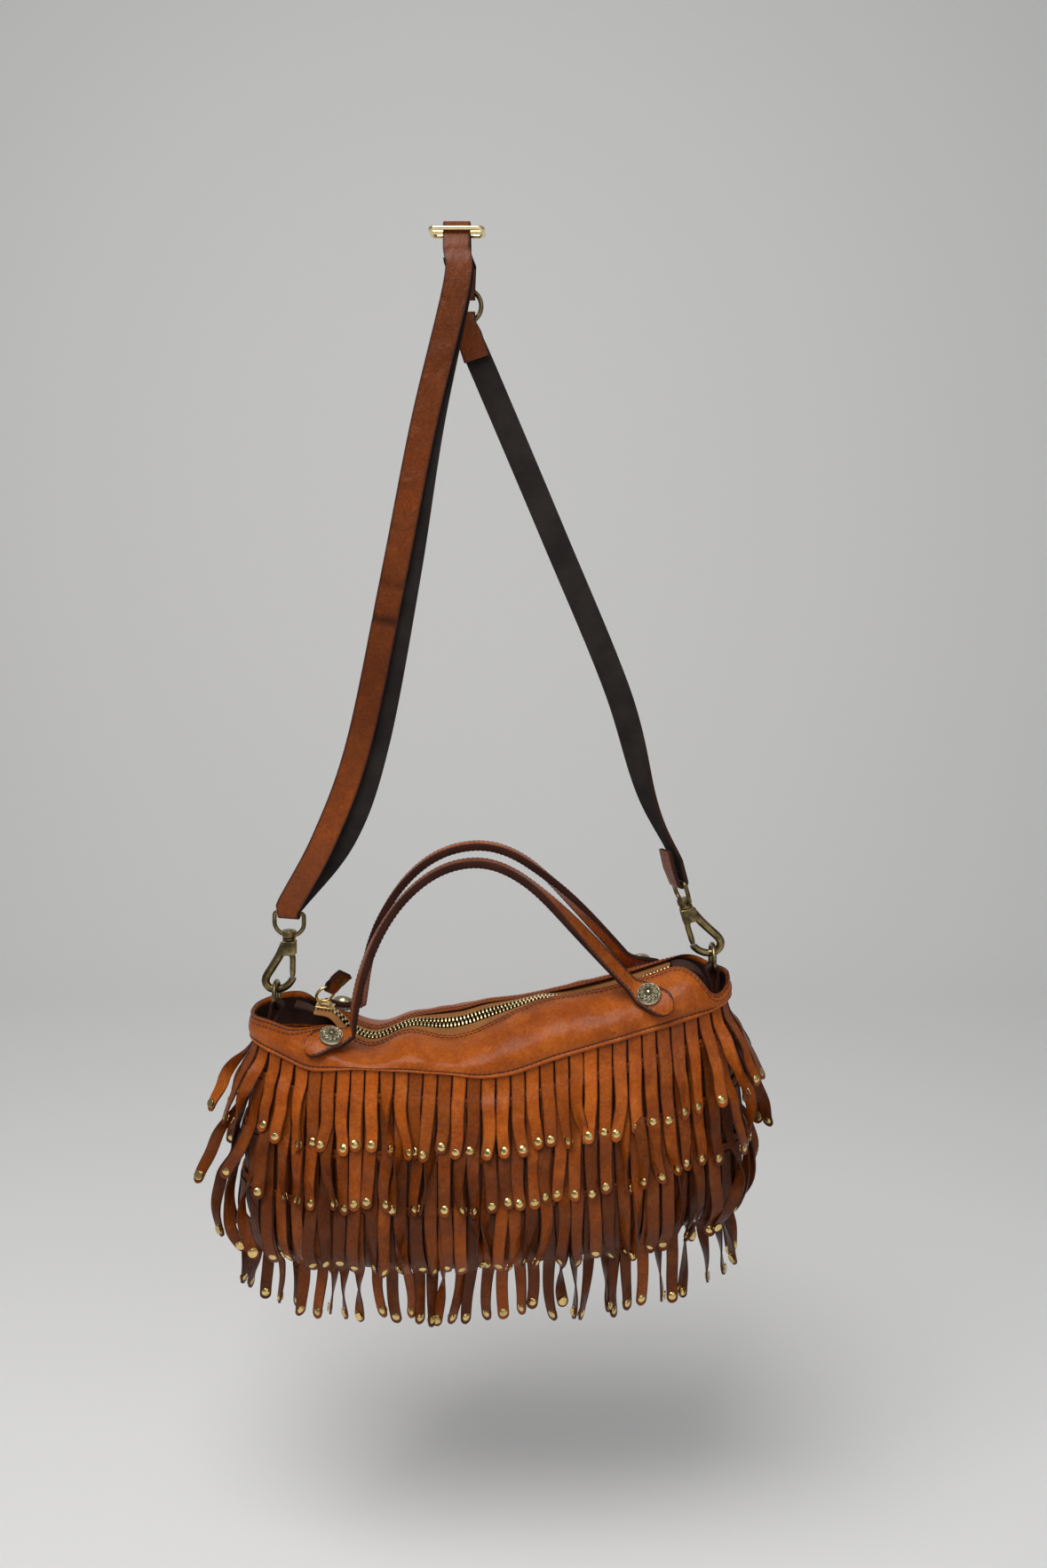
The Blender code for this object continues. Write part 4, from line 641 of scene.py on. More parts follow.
def sweep_flat(name, centres, across, normals, half_width, half_height, kinds, round_share=0.5,
               closed=False, tones=0.0, edge_reach=0.86, crown=0.0):
    """A flat strap along a line. Faces on the normals' side take the first material, those on
    the other side the second and its sides the third."""
    profile = flat_profile(9)
    rows = len(centres)
    centres = np.asarray(centres, dtype=float)
    half_width = np.broadcast_to(np.asarray(half_width, dtype=float), (rows,))[:, None]
    half_height = np.broadcast_to(np.asarray(half_height, dtype=float), (rows,))[:, None]
    corner = np.minimum(half_height, half_width) * round_share
    share = profile[None, :, 0]
    a = share * (half_width - corner) + profile[None, :, 2] * corner
    b = profile[None, :, 1] * (half_height - corner) + profile[None, :, 3] * corner
    b = b + crown * (1 - share ** 2) * half_height * (profile[None, :, 1] > 0)
    across = unit(across)
    normals = unit(normals)
    points = (centres[:, None, :] + across[:, None, :] * a[..., None]
              + normals[:, None, :] * b[..., None])
    size = len(profile)
    faces = skin_faces(rows, size, closed)
    middle = (profile[:, 3] + np.roll(profile[:, 3], -1)) / 2
    by_side = np.where(middle > 0.8, 0, np.where(middle < -0.8, 1, 2))
    face_kinds = [by_side[corner] for _ in range(rows if closed else rows - 1)
                  for corner in range(size)] + ([] if closed else [2, 2])
    edge = np.where(np.abs(profile[:, 0]) > edge_reach, 1.0, 0.0)
    edge = np.broadcast_to(edge, (rows, size)).ravel()
    tone = np.broadcast_to(np.asarray(tones, dtype=float), (rows,))
    tone = np.repeat(tone, size)
    return mesh_object(name, points.reshape(-1, 3), faces, kinds, face_kinds, 40.0,
                       edge=edge, tone=tone)


def tube(name, line, radius, kind, closed=False, sides=14, flat=(1.0, 1.0), plane=(0, 1, 0),
         smooth=60.0):
    """A wire along a line that lies in a plane, with the radius at each point."""
    line = np.asarray(line, dtype=float)
    ways = directions(line, closed)
    plane = unit(np.asarray(plane, dtype=float))
    side = unit(np.cross(ways, plane))
    radius = np.broadcast_to(np.asarray(radius, dtype=float), (len(line),))
    angles = 2 * np.pi * (np.arange(sides) + 0.5) / sides
    ring = (side[:, None, :] * (np.cos(angles) * flat[0])[None, :, None]
            + plane[None, None, :] * (np.sin(angles) * flat[1])[None, :, None])
    points = line[:, None, :] + ring * radius[:, None, None]
    return mesh_object(name, points.reshape(-1, 3), skin_faces(len(line), sides, closed),
                       [kind], None, smooth)


def torus(name, centre, normal, radius, wire, kind, stretch=(1, 1, 1)):
    """A round ring."""
    deselect()
    turn = Vector(normal).to_track_quat("Z", "Y").to_euler()
    bpy.ops.mesh.primitive_torus_add(location=centre, rotation=turn, major_segments=64,
                                     minor_segments=18, major_radius=radius, minor_radius=wire)
    item = bpy.context.object
    item.name = name
    item.scale = stretch
    item.data.materials.append(surface(kind))
    bake_place(item)
    settle(item, 60)
    return item


def drum(name, low, high, radius, kind, bevel=0.0004, sides=32):
    """A cylinder between two places, with rounded rims."""
    deselect()
    low = Vector(low)
    high = Vector(high)
    way = high - low
    bpy.ops.mesh.primitive_cylinder_add(vertices=sides, radius=radius, depth=way.length,
                                        location=(low + high) / 2,
                                        rotation=way.to_track_quat("Z", "Y").to_euler())
    item = bpy.context.object
    item.name = name
    item.data.materials.append(surface(kind))
    bake_place(item)
    rounding = item.modifiers.new("rounding", "BEVEL")
    rounding.width = bevel
    rounding.segments = 3
    rounding.limit_method = "ANGLE"
    apply_modifiers(item)
    settle(item, 45)
    return item


def block(name, centre, axes, size, kind, bevel):
    """A box along three directions, with rounded edges."""
    deselect()
    bpy.ops.mesh.primitive_cube_add(size=1.0)
    item = bpy.context.object
    item.name = name
    item.scale = size
    item.data.materials.append(surface(kind))
    bake_place(item)
    rounding = item.modifiers.new("rounding", "BEVEL")
    rounding.width = bevel
    rounding.segments = 3
    apply_modifiers(item)
    first, second, third = (Vector(axis) for axis in axes)
    for vertex in item.data.vertices:
        spot = vertex.co
        vertex.co = Vector(centre) + first * spot.x + second * spot.y + third * spot.z
    settle(item, 40)
    return item


def join(name, items):
    """Join objects into one."""
    deselect()
    for item in items:
        item.select_set(True)
    bpy.context.view_layer.objects.active = items[0]
    bpy.ops.object.join()
    items[0].name = name
    items[0].select_set(False)
    return items[0]


def stitch_shape():
    """Points and faces of one stitch, a unit long."""
    deselect()
    bpy.ops.mesh.primitive_uv_sphere_add(segments=8, ring_count=6, radius=0.5)
    item = bpy.context.object
    points, faces, kinds = read_mesh(item)
    return points[:, (2, 0, 1)], faces, kinds


def sew(name, rows, body):
    """Stitches along lines given as (points, normals)."""
    size = sizes()
    shape, faces, kinds = stitch_shape()
    heap = Heap()
    for line, normals in rows:
        line = np.asarray(line, dtype=float)
        normals = np.broadcast_to(np.asarray(normals, dtype=float), line.shape)
        lengths = np.concatenate(([0], np.cumsum(np.linalg.norm(np.diff(line, axis=0), axis=1))))
        count = max(1, int(lengths[-1] / size.stitch))
        for number in range(count):
            at = (number + 0.5) * lengths[-1] / count
            spot = np.array([np.interp(at, lengths, line[:, axis]) for axis in range(3)])
            ahead = np.array([np.interp(at + 0.0008, lengths, line[:, axis]) for axis in range(3)])
            back = np.array([np.interp(at - 0.0008, lengths, line[:, axis]) for axis in range(3)])
            way = unit(ahead - back)
            normal = np.array([np.interp(at, lengths, normals[:, axis]) for axis in range(3)])
            side = unit(np.cross(normal, way))
            normal = np.cross(way, side)
            points = (spot + np.outer(shape[:, 0] * size.stitch * 0.84, way)
                      + np.outer(shape[:, 1] * size.thread, side)
                      + np.outer(shape[:, 2] * size.thread * 0.9, normal))
            heap.add(points, faces, kinds)
    item = heap.object(name, ["thread"], 60.0)
    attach(item, body)
    return item


# The bag's shape

def outline_tables():
    """Distances round the outline with its points and outward directions."""
    angles = np.linspace(0.0, 2 * np.pi, 4001)
    cosine = np.cos(angles)
    sine = np.sin(angles)
    points = np.stack([HALF_LENGTH * np.sign(cosine) * np.abs(cosine) ** PLAN_POWER,
                       HALF_DEPTH * np.sign(sine) * np.abs(sine) ** PLAN_POWER], axis=1)
    lengths = np.concatenate(([0.0], np.cumsum(np.linalg.norm(np.diff(points, axis=0), axis=1))))
    reach = 20
    around = points[:-1]
    along = unit(np.roll(around, -reach, axis=0) - np.roll(around, reach, axis=0))
    along = np.concatenate((along, along[:1]))
    return lengths, points, np.stack([along[:, 1], -along[:, 0]], axis=1)


OUTLINE_LENGTHS, OUTLINE_POINTS, OUTLINE_NORMALS = outline_tables()
PERIMETER = OUTLINE_LENGTHS[-1]


def outline(distance):
    """Plan points and outward directions at distances round the outline."""
    distance = np.asarray(distance, dtype=float) % PERIMETER
    points = np.stack([np.interp(distance, OUTLINE_LENGTHS, OUTLINE_POINTS[:, axis])
                       for axis in range(2)], axis=-1)
    normals = np.stack([np.interp(distance, OUTLINE_LENGTHS, OUTLINE_NORMALS[:, axis])
                        for axis in range(2)], axis=-1)
    return points, unit(normals)


def table_value(table, u):
    """A value read from a table by its place along the bag, with soft corners."""
    places = np.array([row[0] for row in table])
    values = np.array([row[1] for row in table])
    total = 0.0
    for shift in (-0.006, -0.003, 0.0, 0.003, 0.006):
        total = total + np.interp(np.asarray(u) + shift, places, values)
    return total / 5


def hang(u, v, h):
    """World places of points of the bag as it hangs."""
    u, v, h = np.broadcast_arrays(np.asarray(u, float), np.asarray(v, float), np.asarray(h, float))
    share = u / HALF_LENGTH
    drop = SAG * (np.minimum(share * share, 1.2) - SAG_LEVEL)
    return np.stack([BAG_OFFSET + u, v, -SEAM_DROP + h + HANG_SLOPE * u + drop], axis=-1)


def growth(h):
    """How far the wall stands out at a height under the seam."""
    depth = np.clip(-np.asarray(h, dtype=float) / BODY_HEIGHT, 0.0, 1.0)
    above = BODY_GROWTH * np.sin(0.5 * np.pi * depth / BODY_WIDEST)
    past = (depth - BODY_WIDEST) / (1 - BODY_WIDEST)
    below = BODY_GROWTH - BOTTOM_ROUND * np.maximum(past, 0.0) ** 3
    return np.where(depth < BODY_WIDEST, above, below)


def front_share(v):
    """1 on the front, 0 on the back."""
    return ease(0.5 - np.asarray(v) / (0.6 * HALF_DEPTH))


def seam_wave(u, v):
    """How much higher the seam lies than the plain sagging line."""
    wave = table_value(SEAM_WAVE, u)
    return wave * (0.35 + 0.65 * front_share(v))


def wall(distance, h, outward):
    """World places on the bag's wall, which follows the seam's waves."""
    plan, normal = outline(distance)
    spot = plan + normal * np.asarray(outward, dtype=float)[..., None]
    fade = np.clip(1 + np.asarray(h, dtype=float) / 0.12, 0.0, 1.0)
    return hang(spot[..., 0], spot[..., 1], h + seam_wave(spot[..., 0], spot[..., 1]) * fade)


def creases(distance, h, seed=0.0):
    """Soft irregular folds, from -1 to 1."""
    return (0.42 * np.sin(71 * distance + 3.1 * np.sin(45 * h + seed) + seed)
            + 0.33 * np.sin(158 * distance - 95 * h + 1.7 + seed)
            + 0.25 * np.sin(287 * distance + 140 * h + 2.0 * np.sin(66 * distance) + seed))


def build_body():
    """The bag's leather shell."""
    columns = 220
    depths = 26
    places = np.arange(columns) * PERIMETER / columns
    heights = -BODY_HEIGHT * np.sin(0.5 * np.pi * np.linspace(0, 1, depths)) ** 0.9
    outer = [wall(places, np.full(columns, h),
                  growth(h) + 0.0006 * creases(places, h) * min(1.0, -h / 0.02)) for h in heights]
    inner = [wall(places, np.full(columns, max(h, heights[-1] + LEATHER)),
                  growth(h) - LEATHER + 0 * places) for h in heights]
    rings = outer[::-1] + inner
    points = np.concatenate(rings)
    faces = skin_faces(len(rings), columns, capped=False)
    for row in (0, len(rings) - 1):
        start = row * columns
        half = columns // 2
        faces.append((start, start + 1, start + columns - 1))
        for number in range(1, half - 1):
            faces.append((start + number, start + number + 1, start + columns - number - 1,
                          start + columns - number))
        faces.append((start + half - 1, start + half, start + half + 1))
    face_kinds = [0 if index < (depths - 1) * columns else 1 for index in range(len(faces))]
    face_kinds[-half:] = [1] * half
    face_kinds[-2 * half:-half] = [0] * half
    # The shell's tone of -0.72 is painted shade: the shell shows only between and under the strips.
    item = mesh_object("bag_shell", points, faces, ["tan_leather", "suede"], face_kinds, 50.0,
                       tone=np.full(len(points), -0.72))
    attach(item, "bag")
    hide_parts("bag_body")


# Fringe

MASTER_LENGTH = 0.060
MASTER_KEEP = 0.011


def strip_shape():
    """A flat strip with a round end: places across, distances from its end, and depths."""
    size = sizes()
    deselect()
    bpy.ops.mesh.primitive_grid_add(x_subdivisions=6, y_subdivisions=30, size=1.0)
    item = bpy.context.object
    half = (PERIMETER / 2 / size.strips - size.slit) / 2
    for vertex in item.data.vertices:
        share = 0.5 - vertex.co.y
        from_end = MASTER_LENGTH * (1 - share) ** 1.5
        missing = max(0.0, half - from_end) / half
        wide = math.sqrt(max(0.0, 1 - missing ** 2.3))
        vertex.co = (2 * vertex.co.x * half * max(wide, 0.10), -from_end, 0.0)
    for kind in ("tan_leather", "suede", "fringe_edge"):
        item.data.materials.append(surface(kind))
    thick = item.modifiers.new("thick", "SOLIDIFY")
    thick.thickness = size.strip_leather
    thick.offset = -1
    thick.material_offset = 1
    thick.material_offset_rim = 2
    apply_modifiers(item)
    points, faces, kinds = read_mesh(item)
    depth = [sum(points[corner][2] for corner in face) / len(face) for face in faces]
    thin = size.strip_leather
    kinds = [0 if z > -0.1 * thin else 1 if z < -0.9 * thin else 2 for z in depth]
    return points, faces, kinds


def stud_shapes():
    """The domed stud and the flat disc behind it, standing on z = 0."""
    size = sizes()
    deselect()
    bpy.ops.mesh.primitive_uv_sphere_add(segments=18, ring_count=12, radius=1.0)
    item = bpy.context.object
    for vertex in item.data.vertices:
        x, y, z = vertex.co
        rise = z if z > 0 else 0.12 * z
        vertex.co = (x * size.stud_radius, y * size.stud_radius, rise * size.stud_height)
    dome = read_mesh(item)
    bpy.ops.mesh.primitive_cylinder_add(vertices=18, radius=size.stud_radius * 0.92,
                                        depth=0.0006)
    item = bpy.context.object
    rounding = item.modifiers.new("rounding", "BEVEL")
    rounding.width = 0.0002
    rounding.segments = 2
    apply_modifiers(item)
    return dome, read_mesh(item)


class Strand:
    """How one strip hangs: its course, its turn and its tone."""

    def __init__(self, tier, side, number, rng):
        size = sizes()
        self.pitch = PERIMETER / 2 / size.strips
        self.middle = side * PERIMETER / 2 + (number + 0.5) * self.pitch
        self.tier = tier
        self.top = -TIER_ROOTS[tier]
        plan, _ = outline(self.middle)
        self.end_share = float(ease((abs(plan[0]) / HALF_LENGTH - 0.80) / 0.18))
        ragged = 0.0022 if tier < 2 else 0.0038
        self.length = TIER_ENDS[tier] - TIER_ROOTS[tier] + rng.uniform(-ragged, ragged)
        self.length += RIGHT_EXTRA[tier] * float(ease((plan[0] - 0.02) / 0.08))
        wild = rng.random() + 0.10 * tier + 0.35 * self.end_share
        calm = wild < 0.55
        turned = wild < 0.98
        sign = rng.choice((-1, 1))
        if calm:
            self.turn = math.radians(rng.uniform(-20, 20))
            self.sway = rng.uniform(-0.0018, 0.0018)
        elif turned:
            self.turn = sign * math.radians(rng.uniform(25, 62))
            self.sway = sign * rng.uniform(0.0005, 0.0040)
        else:
            self.turn = sign * math.radians(rng.uniform(105, 175))
            self.sway = sign * rng.uniform(0.0010, 0.0055)
        self.turn_start = rng.uniform(0.0, 0.35)
        group = math.sin(0.55 * number + 1.9 * tier + 2.4 * side)
        self.sway += 0.0032 * group * (0.4 + 0.6 * rng.random())
        self.wave = rng.uniform(-0.0015, 0.0015) * (1 if calm else 1.8)
        self.wave_phase = rng.uniform(0, math.pi)
        splay = size.front_splay + (size.end_splay - size.front_splay) * self.end_share
        self.lean = splay * rng.random() ** (1.4 - 0.8 * self.end_share)
        self.bow = rng.uniform(-0.0004, 0.0012)
        self.cover = rng.uniform(0.0016, 0.0034) if tier < 3 else 0.0
        self.cup = rng.uniform(-10, 16)
        if side == 1 and (tier, number) in ((1, 1), (2, 0), (0, 0)):
            self.lean = 0.026 if tier == 1 else 0.018
            self.turn = math.radians(150)
            self.turn_start = 0.0
        self.ripple = rng.uniform(0.0002, 0.0009)
        self.ripple_phase = rng.uniform(0, 2 * math.pi)
        # Random tone per strip. The tier offsets are painted shade, making the lower tiers darker.
        # Strips are also made darker towards the bag's ends.
        self.tone = rng.uniform(-0.36, 0.26) - (0.02, 0.28, 0.48, 0.52)[tier] - 0.18 * self.end_share
        self.tone = max(self.tone, -0.72)

    def frames(self, count=40):
        """Shares of the length with places, directions across and out of the strip, and sizes."""
        size = sizes()
        t = np.linspace(0.0, 1.0, count)
        h = self.top - self.length * t
        half = self.pitch / 2
        turn = self.turn * ease((t - self.turn_start) / (1.0 - self.turn_start))
        out = growth(h) + 0.0017 + self.lean * t ** 1.4 + self.bow * np.sin(np.pi * t)
        out = out + half * 0.9 * np.abs(np.sin(turn)) * t ** 0.5
        out = out + self.ripple * (1 + np.sin(5.5 * np.pi * t + self.ripple_phase)) * t
        if self.tier < 3:
            under = -TIER_ROOTS[self.tier + 1]
            out = out + self.cover * ease((under - h + 0.012) / 0.014)
        drift = self.sway * t ** 1.6 + self.wave * np.sin(2.2 * np.pi * t + self.wave_phase) * t
        distance = self.middle + drift
        places = wall(distance, h, out)
        beside = wall(distance + 0.0005, h, out)
        across = unit(beside - places)
        down = directions(places)
        outward = unit(np.cross(down, across))
        plan_out = outline(distance)[1]
        flip = np.sign(outward[:, 0] * plan_out[:, 0] + outward[:, 1] * plan_out[:, 1])
        outward = outward * flip[:, None]
        across = unit(np.cross(outward, down)) * flip[:, None]
        turned_across = across * np.cos(turn)[:, None] + outward * np.sin(turn)[:, None]
        turned_out = outward * np.cos(turn)[:, None] - across * np.sin(turn)[:, None]
        return t, places, turned_across, turned_out, size


def lay_strip(heap, strand, shape, studs):
    """Bend the flat strip along its strand and put its stud on."""
    points, faces, kinds = shape
    t, places, across, outward, size = strand.frames()
    from_end = -points[:, 1]
    stretch = (strand.length - MASTER_KEEP) / (MASTER_LENGTH - MASTER_KEEP)
    from_end = np.where(from_end < MASTER_KEEP, from_end,
                        MASTER_KEEP + (from_end - MASTER_KEEP) * stretch)
    share = 1 - from_end / strand.length

    def at(values, where):
        return np.stack([np.interp(where, t, values[:, axis]) for axis in range(3)], axis=-1)

    taper = 1 + (size.strip_end - 1) * share
    x = points[:, 0] * taper
    rise = points[:, 2] + strand.cup * x * x * share
    bent = (at(places, share) + unit(at(across, share)) * x[:, None]
            + unit(at(outward, share)) * rise[:, None])
    half = np.abs(points[:, 0]).max()
    missing = np.maximum(0.0, half + points[:, 1]) / half
    widest = half * np.maximum(np.sqrt(np.maximum(0.0, 1 - missing ** 2.3)), 0.10)
    edge = np.where(np.abs(points[:, 0]) > 0.97 * widest, 0.85, 0.0)
    heap.add(bent, faces, kinds, edge=edge, tone=strand.tone)
    stud_share = 1 - size.stud_place / strand.length
    spot = at(places, stud_share)
    side = unit(at(across, stud_share))
    face = unit(at(outward, stud_share))
    along = np.cross(face, side)
    for (stud_points, stud_faces, _), depth, sign in ((studs[0], 0.0, 1.0),
                                                       (studs[1], -size.strip_leather, -1.0)):
        placed = (spot + np.outer(stud_points[:, 0], side)
                  + np.outer(stud_points[:, 1], along) * sign
                  + np.outer(stud_points[:, 2] * sign + depth, face))
        heap.add(placed, stud_faces, [3] * len(stud_faces))


def build_fringe():
    """All bands of fringe, with their headers and stitches."""
    size = sizes()
    rng = random.Random(23)
    shape = strip_shape()
    studs = stud_shapes()
    for tier in range(4):
        rows = []
        for side, label in ((0, "back"), (1, "front")):
            heap = Heap()
            for number in range(size.strips):
                lay_strip(heap, Strand(tier, side, number, rng), shape, studs)
            start = side * PERIMETER / 2
            places = np.linspace(start, start + PERIMETER / 2, 150)
            low = -TIER_ROOTS[tier] - 0.0006
            high = -TIER_ROOTS[tier] + (0.005 if tier else 0.0012)
            rings = [wall(places, np.full(150, h), growth(h) + out + 0 * places) for h, out in
                     ((low, 0.0006), (low, 0.0017), (high - 0.0004, 0.0018), (high, 0.0014),
                      (high, 0.0004))]
            section = np.stack(rings, axis=1).reshape(-1, 3)
            faces = skin_faces(150, 5)
            heap.add(section, faces, [0] * len(faces), tone=-0.12)
            item = heap.object(f"fringe_{tier + 1}_{label}",
                               ["tan_leather", "suede", "fringe_edge", "stud_brass"], 45.0)
            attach(item, "bag")
            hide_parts(f"fringe_tier{tier + 1}_{label}")
            if tier:
                middle = (low + high) / 2 + 0.0008
                line = wall(places, np.full(150, middle), growth(middle) + 0.0019 + 0 * places)
                plan_out = outline(places)[1]
                rows.append((line, np.concatenate((plan_out, np.zeros((150, 1))), axis=1)))
        if rows:
            sew(f"fringe_stitches_{tier + 1}", rows, "bag")


# Smooth top band

def band_out(share):
    """Outward place of the band's outer face, from its seam at 0 to its edge at 1."""
    share = np.maximum(share, 0.0)
    return 0.0021 + LEATHER + 0.0012 * np.sin(np.pi * np.minimum(share * 1.2, 1.0))


def band_levels(u, side):
    """Heights of the band's seam and of its upper edge."""
    low = seam_wave(u, -0.03 if side else 0.03)
    top = table_value(FRONT_TOP if side else BACK_TOP, u)
    return low, np.maximum(top, low + 0.006)


def lean_share(u):
    """How far the band leans in over the zip: 1 along the zip, 0 at the bag's upright ends."""
    return ease((0.128 - np.abs(u) + 0.014 * (np.asarray(u) > 0)) / 0.030)


def band_section(u, v, share, outward, side):
    """Depth and height of the band where its seam would stand at depth v."""
    low, top = band_levels(u, side)
    turn = 0.5 * np.pi * np.clip(share, 0.0, 1.0)
    lean = lean_share(u)
    rise = share * (1 - lean) + np.sin(turn) ** 0.92 * lean
    way = np.where(side, -1.0, 1.0)
    inner = way * EDGE_APART
    arch = (1 - np.cos(turn)) * lean
    depth = v + (inner - v) * arch
    depth = depth + way * outward * lean * (np.cos(turn) - 1)
    height = low + (top - low) * rise + outward * np.sin(turn) * lean
    return depth, height


def band_point(distance, up, outward, side, from_top=False):
    """World places on the band at a distance along its face over its seam or under its edge."""
    plan, normal = outline(distance)
    tall = band_width(plan[..., 0], side)
    share = (tall - up) / tall if from_top else up / tall
    fold = 0.0011 * creases(np.asarray(distance), share * 0.03, 4.0) * np.sin(
        np.pi * np.clip(share, 0.0, 1.0))
    spot = plan + normal * (band_out(share) + outward + fold)[..., None]
    v, h = band_section(spot[..., 0], spot[..., 1], share, outward + fold, side)
    h = h + np.minimum(share, 0.0) * tall
    return hang(spot[..., 0], v, h)


def band_edge_y(u):
    """Distance of the band's inner face from the middle plane, at a place along the bag."""
    share = np.minimum(np.abs(u) / HALF_LENGTH, 0.999)
    angle = np.arccos(share ** (1 / PLAN_POWER))
    return HALF_DEPTH * np.sin(angle) ** PLAN_POWER


def band_width(u, side):
    """Length of the band's face from its seam over the shoulder to its edge."""
    low, top = band_levels(u, side)
    reach = band_edge_y(u) + 0.0045 - EDGE_APART
    round_way = 1.11 * np.sqrt(0.5 * ((top - low) ** 2 + np.maximum(reach, 0) ** 2)) * 1.4142
    return (top - low) + (np.maximum(round_way, top - low) - (top - low)) * lean_share(u)


def band_rows(side, columns):
    """Distances along half of the band, and the band's height there."""
    places = side * PERIMETER / 2 + np.linspace(0.0003, PERIMETER / 2 - 0.0003, columns)
    plan, _ = outline(places)
    return places, band_width(plan[:, 0], side)


def build_band():
    """Both halves of the band, with piping, folded edges and three rows of stitches."""
    size = sizes()
    for side, label in ((0, "back"), (1, "front")):
        columns = 420
        places, height = band_rows(side, columns)
        pucker = 0.5 + 0.5 * np.cos(2 * np.pi * np.arange(columns) * (PERIMETER / 2 / columns)
                                    / size.stitch)
        rings = []
        roll = 0.0012
        for angle in np.linspace(-100, 80, 7):
            turn = math.radians(angle)
            rings.append(band_point(places, roll * 0.8 + roll * math.sin(turn) + 0 * places,
                                    -0.0003 + roll * math.cos(turn) + 0 * places, side))
        rings.append(band_point(places, 0.0027 + 0 * places, -0.0006 - 0.0002 * pucker, side))
        rings.append(band_point(places, 0.0036 + 0 * places, -0.0001 - 0.0001 * pucker, side))
        for share in np.linspace(0.22, 0.74, 9):
            rings.append(band_point(places, height * share, 0 * places, side))
        for under, out in ((0.0056, 0.0), (0.0050, -0.0003), (0.0044, -0.0001), (0.0034, 0.0001),
                           (0.0026, -0.0001), (0.0020, -0.0004), (0.0014, 0.0000),
                           (0.0006, 0.0001), (0.0001, -0.0004), (0.0, -0.0010),
                           (0.0002, -0.0017), (0.0010, -0.0022)):
            rings.append(band_point(places, np.minimum(under, height * 0.24 * under / 0.0056),
                                    out - 0.0001 * pucker * (out < -0.0001), side, True))
        for share in (0.85, 0.7, 0.55, 0.4, 0.25, 0.02):
            rings.append(band_point(places, height * share, -LEATHER + 0 * places, side))
        points = np.stack(rings, axis=1)
        count = points.shape[1]
        edge = np.zeros(count)
        # edge[7], edge[19] and edge[23] are painted shade in the stitch grooves. edge[26:29] is the
        # burnished folded edge. edge[0:2] darkens the underside of the piping along the seam.
        edge[7] = 0.75
        edge[[19, 23]] = 0.5
        edge[26:29] = 1.0
        edge[0:2] = 0.9
        faces = skin_faces(columns, count)
        kinds = [1 if corner >= 30 else 0 for _ in range(columns - 1) for corner in range(count)]
        kinds += [0, 0]
        item = mesh_object(f"band_{label}", points.reshape(-1, 3), faces,
                           ["band_leather", "suede"], kinds, 60.0,
                           edge=np.tile(edge, columns))
        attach(item, "bag")
        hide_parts(f"yoke_{label}")
        sparse = places[::2]
        plan_out = outline(sparse)[1]
        normals = np.concatenate((plan_out, np.zeros((len(sparse), 1))), axis=1)
        rows = [(band_point(sparse, 0.0027 + 0 * sparse, -0.0003 + 0 * sparse, side), normals),
                (band_point(sparse, 0.0020 + 0 * sparse, -0.0001 + 0 * sparse, side, True), normals),
                (band_point(sparse, 0.0050 + 0 * sparse, 0.0 + 0 * sparse, side, True), normals)]
        sew(f"band_stitches_{label}", rows, "bag")


# Zip

def zip_wander(x, z, length):
    """How far the zip lies above its arc, and its roll, where it ripples between the band's
    edges; nothing where the slider rests and at the right."""
    u = x - BAG_OFFSET
    front = table_value(FRONT_TOP, u)
    back = table_value(BACK_TOP, u)
    line = hang(u, 0.0, 0.5 * (front + back) - 0.0004)[..., 2]
    keep = ease((length - 0.010) / 0.014) * ease((0.172 - length) / 0.03)
    roll = np.arctan2(back - front, 2 * EDGE_APART) + 0.14
    return (line - z) * keep, roll * keep


def zip_point(length, across=0.0, up=0.0, ripple=True):
    """World places on the zip: a length along it, to the front, and above."""
    length, across, up = np.broadcast_arrays(np.asarray(length, float), np.asarray(across, float),
                                             np.asarray(up, float))
    angle = length / ZIP_RADIUS + ZIP_BEGIN
    lift, roll = zip_wander(ZIP_CENTRE.x + ZIP_RADIUS * np.sin(angle),
                            ZIP_CENTRE.z - ZIP_RADIUS * np.cos(angle), length)
    if not ripple:
        lift, roll = 0.0, 0.0
    side = across * np.cos(roll) + up * np.sin(roll)
    rise = up * np.cos(roll) - across * np.sin(roll)
    radius = ZIP_RADIUS - rise
    return np.stack([ZIP_CENTRE.x + radius * np.sin(angle), -side,
                     ZIP_CENTRE.z - radius * np.cos(angle) + lift], axis=-1)


def tooth_shape():
    """One zip tooth, a metre in each direction before it is sized."""
    deselect()
    bpy.ops.mesh.primitive_cube_add(size=1.0)
    item = bpy.context.object
    rounding = item.modifiers.new("rounding", "BEVEL")
    rounding.width = 0.22
    rounding.segments = 2
    apply_modifiers(item)
    return read_mesh(item)


